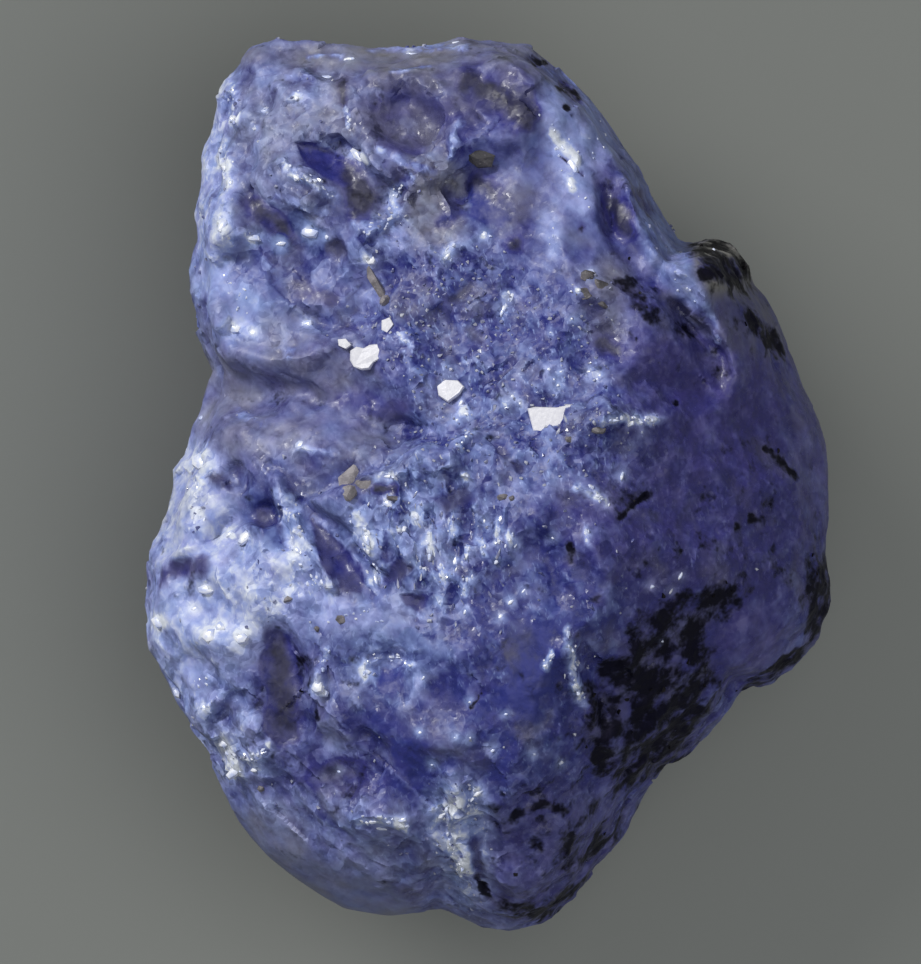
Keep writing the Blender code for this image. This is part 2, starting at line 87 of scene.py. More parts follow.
# The surface of the stone by region, seen from above: centre, half sizes, turn in degrees, then how far
# it is broken into large chips, into small chips, into grains and into needles, how frosted, pale, violet
# and grey it is, how much of it a dark film covers, and how it sparkles
REGIONS = {
    "left rim": ((-3.65, 4.03), (0.19, 1.47), 0, (0.5, 0.4, 0.2, 0, 0.95, 1.2, 0.35, 0, 0, 0.6)),
    "upper left block": ((-2.65, 4.43), (0.73, 0.93), 0, (0.7, 0.6, 0.3, 0, 0.7, 0.50, 0.3, 0.42, 0.2, 0.5)),
    "round hollow": ((-1.07, 4.82), (0.61, 0.43), -5, (0.5, 0.6, 0.2, 0, 0.4, 0.0, 0.4, 0.4, 0.2, 0.3)),
    "slanting faces": ((-1.91, 3.90), (0.69, 0.29), -40,
        (0.2, 0.2, 0.1, 0, 0.30, 0.08, 0.35, 0.40, 0.30, 0.15)),
    "lower slanting face": ((-2.91, 3.57), (0.56, 0.24), -32,
        (0.2, 0.2, 0.1, 0, 0.30, 0.12, 0.1, 0.25, 0.30, 0.2)),
    "grey lump": ((-0.81, 3.83), (0.35, 0.56), 10, (0.4, 0.8, 0.9, 0, 0.9, 0.35, 0.3, 0.9, 0.15, 0.3)),
    "crescent": ((-1.38, 3.47), (0.27, 0.29), 45, (0.2, 0.6, 0.8, 0, 0.95, 0.95, 0.3, 0.1, 0, 0.9)),
    "beside the round hollow": ((0.02, 5.23), (0.53, 0.40), -30,
        (0.3, 0.4, 0.1, 0, 0.4, 0.08, 0.5, 0.4, 0.3, 0.15)),
    "top rim": ((-1.18, 5.66), (1.47, 0.16), 0, (0.3, 0.4, 0.2, 0, 0.8, 0.22, 0.3, 0.9, 0.1, 0.1)),
    "upper right facet": ((0.75, 3.77), (0.59, 1.13), 12,
        (0.05, 0.08, 0.1, 0, 0.6, 0.27, 0.28, 0.05, 0.06, 0.04)),
    "left of the upper right facet": ((0.40, 3.55), (0.25, 0.45), 0,
        (0.2, 0.3, 0.3, 0, 0.5, -0.12, 0.3, 0.75, 0.15, 0.3)),
    "top right edge": ((1.35, 4.83), (0.27, 0.67), 25, (0.2, 0.3, 0.2, 0, 0.7, 0.6, 0.3, 0, 0.2, 0.3)),
    "dark side of the upper right facet": ((1.67, 3.70), (0.21, 0.56), 14,
        (0.1, 0.2, 0.1, 0, 0.35, 0.08, 0.7, 0.1, 0.5, 0.2)),
    "foot of the block": ((-3.25, 2.43), (0.69, 0.56), 0,
        (0.5, 0.5, 0.2, 0, 0.85, 0.40, 0.2, 0.22, 0.06, 0.25)),
    "centre of the block": ((-2.05, 2.63), (0.53, 0.47), 0,
        (0.3, 0.5, 0.2, 0, 0.65, 0.4, 0.35, 0.1, 0.08, 0.25)),
    "groove under the block": ((-2.78, 1.23), (1.27, 0.56), 0,
        (0.4, 0.25, 0.3, 0, 0.6, 0.32, 0.5, 0.5, 0.16, 0.15)),
    "granular upper part": ((0.02, 2.03), (1.27, 0.83), 0,
        (0.4, 0.6, 1, 0.1, 0.6, 0.10, 0.15, 0.05, 0.15, 1)),
    "granular middle": ((0.75, 0.83), (1.47, 0.69), -10,
        (0.4, 0.6, 0.8, 0.4, 0.6, 0.27, 0.15, 0.1, 0.15, 0.9)),
    "grey patch below the facet": ((1.46, 2.46), (0.32, 0.35), 0,
        (0.2, 0.5, 0.9, 0, 0.8, 0.25, 0.4, 0.7, 0.15, 0.4)),
    "left bulge": ((-4.05, -0.37), (0.43, 0.80), 16, (0.5, 0.3, 0.2, 0, 0.95, 1.32, 0.35, 0.1, 0.06, 0.35)),
    "lower left bulge": ((-3.91, -2.03), (0.56, 0.67), 0,
        (0.6, 0.3, 0.2, 0, 0.95, 0.82, 0.25, 0.12, 0.08, 0.45)),
    "between the long facets": ((-2.65, -1.17), (0.48, 0.67), -50,
        (0.4, 0.5, 0.3, 0, 0.85, 1.4, 0.25, 0, 0.05, 0.8)),
    "long facet": ((-2.05, -0.87), (0.77, 0.27), -46, (0.05, 0.05, 0.05, 0, 0.3, 0.2, 0.15, 0, 0.1, 0.1)),
    "facet beside it": ((-2.85, -0.61), (0.40, 0.21), -58, (0.1, 0.05, 0.05, 0, 0.2, 0, 0, 0, 0.2, 0.1)),
    "needles": ((-0.85, -0.70), (0.69, 0.77), 0, (0.4, 0.7, 0.2, 1, 0.6, 0.42, 0.1, 0, 0.12, 1)),
    "ledge under the long facets": ((-1.78, -1.73), (0.73, 0.32), -10,
        (0.2, 0.4, 0.3, 0, 0.75, 0.5, 0.25, 0.1, 0.05, 0.5)),
    "deep pit": ((-2.71, -2.77), (0.35, 0.77), 6, (0.3, 0.4, 0.2, 0, 0.25, 0.2, 0.45, 0.1, 0.45, 0.1)),
    "below the deep pit": ((-1.91, -3.83), (0.51, 0.32), 15,
        (0.4, 0.5, 0.2, 0, 0.45, 0.2, 0.5, 0.1, 0.3, 0.4)),
    "lower left edge": ((-3.55, -3.23), (0.43, 0.59), 35, (0.7, 0.6, 0.2, 0, 0.8, 0.6, 0.3, 0.1, 0.2, 0.7)),
    "ring hollow": ((-1.31, -2.47), (0.43, 0.43), 0, (0.2, 0.3, 0.2, 0, 0.5, 0.38, 0.05, 0, 0.1, 0.6)),
    "smooth blue middle": ((0.62, -2.30), (0.83, 1.33), 0,
        (0.12, 0.4, 0.3, 0.4, 0.5, 0.04, 0.12, 0, 0.1, 0.5)),
    "blue below it": ((-0.65, -3.43), (0.80, 0.60), 0,
        (0.1, 0.25, 0.3, 0.1, 0.55, -0.02, 0.12, 0, 0.12, 0.3)),
    "bottom crest": ((-0.38, -4.53), (0.29, 0.64), 8, (0.3, 0.7, 0.6, 0, 0.95, 1.35, 0.2, 0, 0, 1)),
    "smooth lower left lobe": ((-2.45, -5.25), (1.35, 0.34), -32,
        (0.06, 0.05, 0, 0, 0.85, 0.38, 0.2, 0.6, 0, 0)),
    "above the lobe": ((-1.95, -4.62), (1.00, 0.33), -22, (0.4, 0.5, 0.3, 0, 0.7, 0.42, 0.3, 0.25, 0.1, 0.4)),
    "right lobe": ((0.95, -4.83), (0.64, 0.73), 30, (0.3, 0.3, 0.1, 0, 0.3, 0.14, 0.7, -0.4, 0.5, 0.2)),
    "right face, upper part": ((2.69, 0.83), (0.91, 1.27), 0,
        (0.05, 0.2, 0.1, 0, 0.3, 0, 0.9, 0, 0.12, 0.15)),
    "right face, middle": ((2.69, -0.50), (1.20, 0.73), 0,
        (0.1, 0.3, 0.3, 0.1, 0.3, 0, 0.75, 0.1, 0.3, 0.35)),
    "dark band": ((2.69, -2.10), (0.83, 0.48), 38, (0.3, 0.4, 0.3, 0, 0.45, -0.1, 0.6, 0.2, 1.05, 0.1)),
    "dark foot": ((1.89, -3.06), (0.64, 0.61), 38, (0.3, 0.4, 0.3, 0, 0.45, -0.1, 0.6, 0.2, 1.05, 0.1)),
    "violet window": ((3.33, -1.94), (0.43, 0.40), 40, (0.02, 0.1, 0, 0, 0.6, 0.14, 0.95, -0.9, -0.9, 0.1)),
    "right edge": ((4.39, -1.43), (0.16, 0.53), 0, (0.1, 0.2, 0.1, 0, 0.3, 0.05, 0.6, 0.1, 0.8, 0.1)),
    "right edge, upper part": ((4.35, 0.70), (0.27, 1.20), 0,
        (0.05, 0.15, 0, 0, 0.3, 0.18, 0.8, 0, 0.12, 0.1)),
    "front edge": ((2.45, 2.94), (0.21, 0.93), 30, (0.1, 0.3, 0.3, 0, 0.8, 0.55, 0.1, 0, 0.03, 0.3)),
    "nodule": ((3.11, 2.86), (0.35, 0.32), 0, (0.2, 0.6, 0.4, 0, 1, -0.1, 0.2, 1.6, 1, 0)),
    "slab under the nodule": ((3.38, 2.14), (0.40, 0.43), 0,
        (0.1, 0.2, 0.1, 0, 0.55, 0, 0.4, 0.6, 0.45, 0.1)),
    "dark seam": ((2.22, 2.27), (0.53, 0.21), -40, (0.2, 0.3, 0.2, 0, 0.35, 0.05, 0.5, 0.2, 0.8, 0.2)),
}

# Single marks on the upper side, seen from above: half width, then the places that each one runs through
MARKS = {
    # Bright ridges: raised crests made much paler, partly frosting and partly painted highlight where they
    # catch the light
    "bright ridge": (
        (0.07, (-3.41, 5.26), (-3.39, 4.78)), (0.07, (-3.54, 4.53), (-3.50, 3.94)),
        (0.07, (-3.57, 3.50), (-3.55, 3.34)), (0.05, (-2.55, 5.14)), (0.04, (-2.97, 4.94)),
        (0.05, (-3.10, 4.74)), (0.03, (-1.87, 4.98), (-1.85, 4.70)),
        (0.07, (-2.73, 4.25), (-2.55, 4.05), (-2.27, 3.97), (-2.03, 3.77)), (0.08, (-3.14, 3.26)),
        (0.08, (-1.75, 3.38), (-1.43, 3.35), (-1.26, 3.51), (-1.30, 3.77), (-1.06, 4.01)),
        (0.05, (-0.06, 3.29)), (0.08, (-0.42, 3.17), (-0.57, 2.94)), (0.05, (-1.65, 2.98)),
        (0.04, (0.25, 2.51), (0.27, 2.35)), (0.07, (-0.35, 0.98)),
        (0.07, (1.49, 0.78), (1.82, 0.86), (2.25, 0.81)),
        (0.12, (-3.78, 0.37), (-3.85, 0.03), (-3.83, -0.30), (-3.90, -0.57)),
        (0.13, (-2.70, -0.22), (-2.64, -0.50), (-2.52, -0.92), (-2.32, -1.31), (-2.12, -1.45)),
        (0.12, (-1.77, -0.46), (-1.62, -0.72), (-1.56, -1.02), (-1.48, -1.30)),
        (0.05, (-1.43, 0.09), (-1.22, 0.09)),
        (0.04, (-1.39, -0.22), (-1.29, -0.31)), (0.05, (-0.98, -0.41)), (0.05, (-1.15, -0.62)),
        (0.04, (-0.78, -0.62), (-0.78, -0.94)), (0.05, (-2.15, -2.23), (-2.22, -2.47), (-2.26, -2.71)),
        (0.09, (-2.27, -2.74)),
        (0.05, (-1.66, -2.58), (-1.61, -2.38), (-1.42, -2.30), (-1.18, -2.31), (-1.02, -2.41)),
        (0.08, (-3.55, -3.45), (-3.42, -3.70), (-3.31, -3.83)),
        (0.07, (-3.25, -3.66), (-3.02, -3.59), (-2.90, -3.50)),
        (0.06, (-1.69, -4.51), (-1.38, -4.47), (-1.11, -4.55)), (0.05, (-0.17, -4.06), (-0.27, -4.25)),
        (0.05, (-0.54, -4.27), (-0.67, -4.47)), (0.05, (-0.49, -4.47), (-0.54, -4.83)),
        (0.05, (-0.41, -5.03), (-0.35, -5.22)),
        (0.06, (1.03, -1.99), (1.11, -2.23), (1.13, -2.61), (1.25, -2.90)),
        (0.05, (0.86, -2.22), (0.73, -2.43)), (0.07, (1.17, -0.05), (1.35, -0.13), (1.51, -0.22)),
        (0.04, (1.30, -0.57), (1.31, -0.77)), (0.04, (-0.49, -0.45), (-0.51, -0.77)),
        (0.04, (-0.29, -0.87), (-0.34, -1.11)), (0.04, (-0.10, -0.78), (-0.07, -0.98)),
        (0.04, (0.14, -0.50), (0.10, -0.83)), (0.04, (-0.65, -1.03), (-0.59, -1.30)),
        (0.04, (-0.31, -1.27), (-0.35, -1.46)), (0.04, (0.29, -0.63), (0.26, -0.87)),
        (0.04, (-0.91, -0.98), (-0.86, -1.19)), (0.05, (-0.41, 0.50), (-0.25, 0.70)),
        (0.04, (-1.21, 1.97), (-1.02, 1.83)),
    ),
    # Soft ridges: lower, paler crests, partly painted highlight
    "soft ridge": (
        (0.08, (-3.69, 3.77), (-3.81, 2.97), (-3.87, 2.37)), (0.04, (-2.69, 5.38), (-2.34, 5.38)),
        (0.05, (-1.43, 4.42), (-1.09, 4.22), (-0.74, 4.11)),
        (0.05, (-0.50, 4.29), (-0.39, 4.78)),
        (0.05, (-2.86, 3.83), (-2.55, 3.66), (-2.27, 3.59), (-2.13, 3.59)), (0.08, (-3.39, 2.07)),
        (0.07, (-2.41, 2.11)), (0.09, (-2.66, 1.78)), (0.07, (-3.19, 2.02)),
        (0.04, (2.22, 3.46), (2.37, 3.13), (2.54, 2.74), (2.79, 2.38), (3.01, 2.10), (3.05, 1.87)),
        (0.05, (-4.22, -0.63), (-4.41, -1.03), (-4.49, -1.57)),
        (0.04, (-2.22, -0.50), (-1.91, -0.81), (-1.69, -1.07)),
        (0.07, (-2.51, -1.57), (-1.98, -1.67), (-1.45, -1.62), (-0.91, -1.73)),
        (0.04, (-1.02, -2.41), (-0.94, -2.63), (-1.05, -2.90)),
        (0.03, (-1.77, -2.22), (-1.31, -2.17), (-0.85, -2.22)), (0.05, (-0.65, -4.70), (-0.58, -5.03)),
        (0.03, (-2.41, 5.66), (-1.98, 5.63)), (0.03, (-1.29, 5.47), (-0.79, 5.50)),
        (0.05, (-1.58, 5.74), (-0.91, 5.77), (-0.30, 5.79)), (0.04, (-0.03, -3.46), (0.02, -3.59)),
        (0.04, (0.59, -3.50), (0.63, -3.65)), (0.11, (-3.25, -2.77), (-3.34, -3.10)),
        (0.05, (-3.31, 0.97), (-3.02, 0.77)), (0.05, (-2.11, 0.37), (-2.51, 0.47)),
        (0.07, (-0.91, 0.83), (-0.49, 0.62)), (0.04, (1.43, 1.47), (1.30, 1.31)),
    ),
    # Painted highlights: very pale spots and streaks where glints blow out, each raised a little
    "blown highlight": (
        (0.05, (-1.70, 4.35), (-1.63, 4.26)), (0.07, (0.85, 4.62), (1.02, 4.43), (1.15, 4.25)),
        (0.07, (1.05, 4.03), (1.10, 3.89)), (0.08, (-4.38, -1.85)), (0.08, (-3.71, -1.99)),
        (0.08, (-3.58, -1.89)), (0.09, (-3.30, -2.05)), (0.06, (-3.74, -1.42)), (0.05, (-3.23, -0.71)),
        (0.05, (-3.41, -0.67)), (0.05, (-2.55, -0.89)), (0.04, (-0.31, 0.10)), (0.07, (-3.37, -3.81)),
        (0.07, (-2.39, 3.33)), (0.05, (-3.50, 4.21)), (0.05, (-3.43, 3.98)), (0.05, (-3.55, 3.41)),
        (0.04, (1.34, 2.79)), (0.04, (1.18, 2.55)), (0.05, (-1.57, -0.83)),
    ),
    # Pale patches: paler, frosted ground; the first, on the upper right facet, is painted glare around its
    # glints
    "pale patch": (
        (0.23, (0.86, 4.94), (1.03, 4.43), (1.17, 3.77)), (0.19, (1.35, 4.83), (1.51, 4.43)),
        (0.13, (2.69, 2.43), (2.50, 2.86)), (0.12, (0.82, 3.43), (0.90, 3.10)),
        (0.16, (-3.65, 2.70), (-3.18, 2.43), (-3.31, 2.17)), (0.16, (-2.11, -1.73), (-1.31, -1.86)),
        (0.13, (-3.98, -2.37), (-3.78, -2.77)),
    ),
    # Dark pits: sunk a little and darker, partly clearer crystal and film, partly painted shade in the pit
    "dark pit": (
        (0.08, (-0.59, 3.43), (-0.49, 3.66), (-0.53, 3.90)), (0.15, (-2.01, 3.10)),
        (0.09, (-3.69, 0.09), (-3.45, -0.02)),
        (0.10, (-2.27, -3.90), (-1.78, -3.81)), 
        (0.09, (-0.17, -4.77), (-0.09, -5.23)), (0.08, (2.34, 2.45), (2.69, 2.19), (2.93, 2.02)),
        (0.08, (1.94, 3.83), (2.13, 3.61)),
        (0.08, (-1.85, 0.03), (-1.63, -0.02)), (0.07, (-0.25, 2.03), (-0.09, 1.85)),
        (0.07, (-0.45, 2.43), (-0.25, 2.57)), (0.07, (0.15, 0.37), (0.42, 0.17)),
    ),
    # Dusky patches: darker, greyer ground; in the round hollow and the groove under the block it is painted
    # shade
    "dusky patch": (
        (0.12, (-4.38, -1.27), (-4.18, -1.17), (-3.81, -1.10)),
        (0.17, (-1.25, 4.99), (-0.91, 4.97), (-0.58, 4.94)), (0.12, (-1.34, 4.50), (-0.98, 4.46)),
        (0.16, (-1.85, 1.10), (-1.18, 0.97)), (0.11, (-2.51, 2.57), (-2.11, 2.43)),
    ),
    "deep shade": (
        (0.14, (-2.78, -2.15), (-2.76, -2.75), (-2.68, -3.20)),
        (0.18, (-0.25, 5.34), (0.09, 5.17), (0.49, 4.86)),
        (0.14, (-0.11, 3.94), (0.02, 3.80)), (0.13, (1.67, 3.70), (1.83, 3.34)), (0.09, (0.34, 3.17)),
        (0.06, (-1.45, -0.06), (-1.22, -0.07)), (0.13, (-2.27, -3.90), (-1.78, -3.81)),
        (0.10, (-0.59, 3.43), (-0.49, 3.66)), (0.06, (-1.94, 5.31), (-1.91, 5.06)),
        (0.12, (-1.87, 4.10), (-1.80, 3.90), (-1.71, 3.57)),
        (0.09, (-3.13, 3.66), (-2.85, 3.50), (-2.66, 3.34)),
        (0.10, (1.49, 1.83), (1.65, 1.70)),
    ),
    "dark film": (
        (0.04, (0.07, 4.17)), (0.05, (1.22, 3.38)), (0.07, (0.98, 5.30), (1.17, 5.11)),
        (0.05, (0.55, 5.69), (0.66, 5.58)), (0.05, (1.05, 4.99)), (0.02, (0.93, 4.31), (1.22, 4.07)),
        (0.07, (1.71, 2.67), (2.06, 2.43)), (0.11, (2.69, 1.99)), (0.08, (2.97, 1.74)),
        (0.16, (2.91, 2.86), (3.26, 2.83)), (0.12, (3.46, 2.19), (3.69, 1.93), (3.82, 1.77)),
        (0.08, (1.07, -1.39)), (0.08, (1.45, -1.55)),
        (0.04, (1.74, -0.45), (1.91, -0.30), (2.09, -0.18)), (0.05, (1.07, -0.85), (1.09, -1.06)),
        (0.05, (1.21, -2.05)), (0.03, (-0.25, -2.98), (-0.09, -2.77)),
        (0.21, (2.22, -2.10), (2.69, -1.83), (3.15, -1.59)),
        (0.19, (1.49, -2.77), (2.02, -2.47), (2.42, -2.23)),
        (0.19, (1.62, -3.30), (2.15, -3.17), (2.69, -2.77)), (0.13, (1.49, -3.63), (1.89, -3.54)),
        (0.11, (4.45, -1.23), (4.47, -1.57), (4.37, -1.90)),
        (0.09, (4.15, -2.23), (3.75, -2.57), (3.42, -2.77)),
        (0.06, (0.37, -4.39), (0.69, -4.27), (1.07, -4.34)), (0.09, (1.33, -5.01), (1.49, -4.70)),
        (0.11, (0.15, -5.63), (0.69, -5.73), (1.09, -5.43)), (0.05, (0.49, -4.70), (0.75, -4.90)),
        (0.05, (-0.11, -5.30), (0.02, -5.57)), (0.05, (3.69, 0.43), (4.09, 0.09)), (0.05, (3.51, -0.45)),
        (0.07, (3.77, -0.89)), (0.04, (2.50, 1.06)), (0.04, (2.26, -0.87)), (0.04, (2.53, -0.90)),
        (0.05, (3.29, -0.57)), (0.07, (3.75, 2.03), (3.86, 1.77)), (0.04, (1.34, -3.25)),
        (0.05, (1.39, -3.71)), (0.04, (1.95, 1.87)), (0.04, (2.77, 4.17)), (0.04, (2.07, 2.43)),
        (0.04, (0.75, 5.61)), (0.04, (-0.22, 4.43)),
    ),
    "blue facet": (
        (0.11, (-2.51, 3.47), (-2.22, 3.15)), (0.10, (-2.77, 3.18)), (0.12, (-1.05, -2.10), (-0.65, -2.23)),
        (0.12, (-2.85, -0.71)),
    ),
    "deep blue facet": (
        (0.19, (-0.14, 3.66), (0.15, 3.58)), (0.17, (-1.29, -2.61)), (0.29, (0.69, -2.10), (0.49, -2.90)),
    ),
}

# Clean flat faces, seen from above: how deep they are cut in, how ragged their edges are, how pale they are,
# their corners in order
# The most negative paleness turns a face towards SHADE, as painted shade
SUNK_FACETS = (
    (0.03, 0.03, -0.12, ((-2.58, -0.43), (-2.42, -0.35), (-2.10, -0.67), (-1.74, -0.98), (-1.62, -1.30),
     (-1.69, -1.46), (-1.91, -1.43), (-2.17, -1.35), (-2.23, -1.07), (-2.42, -0.75), (-2.55, -0.53))),
    (0.02, 0.05, -0.05, ((-3.05, -0.34), (-2.85, -0.39), (-2.67, -0.73), (-2.73, -0.86), (-2.97, -0.69),
     (-3.10, -0.51))),
    (0.03, 0.06, 0.02, ((-1.22, -1.01), (-0.98, -1.13), (-1.15, -1.29), (-1.45, -1.34))),
    (0.03, 0.1, -0.15, ((-0.75, -1.47), (-0.95, -1.83), (-1.17, -1.49))),
    (0.02, 0.14, -0.12, ((-2.97, -1.94), (-2.74, -1.98), (-2.53, -2.37), (-2.47, -2.77), (-2.65, -3.06),
     (-2.91, -2.90), (-3.05, -2.47))),
    (0.02, 0.14, -0.20, ((-2.94, -2.98), (-2.65, -3.06), (-2.49, -3.41), (-2.79, -3.51), (-2.99, -3.27))),
    (0.02, 0.14, 0.35, ((-2.06, -3.11), (-1.82, -3.41), (-1.98, -3.59), (-2.19, -3.49), (-2.27, -3.19))),
    (0.02, 0.1, -0.15, ((-2.31, 4.55), (-1.91, 4.30), (-1.71, 4.06), (-1.82, 3.90), (-2.10, 4.02),
     (-2.43, 4.26), (-2.55, 4.49))),
    (0.02, 0.14, -0.85, ((-1.66, 4.06), (-1.49, 3.79), (-1.66, 3.55), (-1.85, 3.66), (-1.87, 3.95))),
    (0.02, 0.12, 0.06, ((-3.13, 3.81), (-2.71, 3.58), (-2.49, 3.35), (-2.30, 3.11), (-2.49, 3.07),
     (-2.83, 3.27), (-3.18, 3.50), (-3.33, 3.74))),
    (0.02, 0.14, -0.50, ((0.59, 5.26), (0.66, 4.86), (0.30, 4.81), (0.18, 5.29))),
    (0.02, 0.14, 0.06, ((-0.30, -0.07), (-0.11, -0.23), (-0.57, -0.39), (-0.78, -0.19))),
    (0.02, 0.14, -0.30, ((0.61, -1.94), (0.79, -2.47), (0.34, -2.69), (0.15, -2.10))),
    (0.02, 0.14, 0.18, ((0.79, -2.77), (0.90, -3.27), (0.42, -3.41), (0.23, -2.90))),
)

# The surface values of a clean flat face, but for its paleness
SUNK = (0.2, 0.35, 0.0, 0.0, 0.35, 0.0, 0.38, 0.26, 0.05, 0.15)

# What each kind of mark does: how far it stands out, then its row of surface values
MARK_KINDS = {
    # The pale patch is partly painted glare
    "pale patch": (0.0, (0.2, 0.15, 0.2, 0.0, 0.85, 0.85, 0.30, 0.0, 0.0, 0.1)),
    # The dusky patch darkens the ground, in hollows as painted shade
    "dusky patch": (0.0, (0.3, 0.3, 0.2, 0.0, 0.45, -0.05, 0.60, 0.28, 0.15, 0.1)),
    "deep shade": (0.0, (0.3, 0.3, 0.2, 0.0, 0.60, -0.90, 0.50, 0.15, 0.15, 0.1)),
    "blue facet": (0.0, (0.1, 0.1, 0.1, 0.0, 0.60, 0.42, -0.90, -0.3, 0.0, 0.2)),
    "deep blue facet": (0.0, (0.1, 0.1, 0.1, 0.0, 0.60, -0.22, -0.40, 0.0, 0.05, 0.2)),
    # The dark pit is darker partly as painted shade
    "dark pit": (-0.05, (0.5, 0.4, 0.2, 0.0, 0.30, 0.03, 0.25, 0.35, 0.2, 0.1)),
    "dark film": (-0.02, (0.3, 0.4, 0.2, 0.0, 0.50, 0.0, 0.50, 0.3, 0.95, 0.1)),
    # The ridges stand out and are paler, partly as painted highlight
    "soft ridge": (0.018, (0.3, 0.5, 0.3, 0.0, 1.00, 0.75, 0.30, 0.0, 0.0, 0.6)),
    "bright ridge": (0.03, (0.3, 0.7, 0.5, 0.0, 1.10, 1.25, 0.20, 0.0, 0.0, 0.9)),
    # The blown highlight is painted highlight, its paleness far past silver
    "blown highlight": (0.05, (0.1, 0.3, 0.2, 0.0, 1.20, 2.40, 0.25, 0.0, 0.0, 0.4)),
}

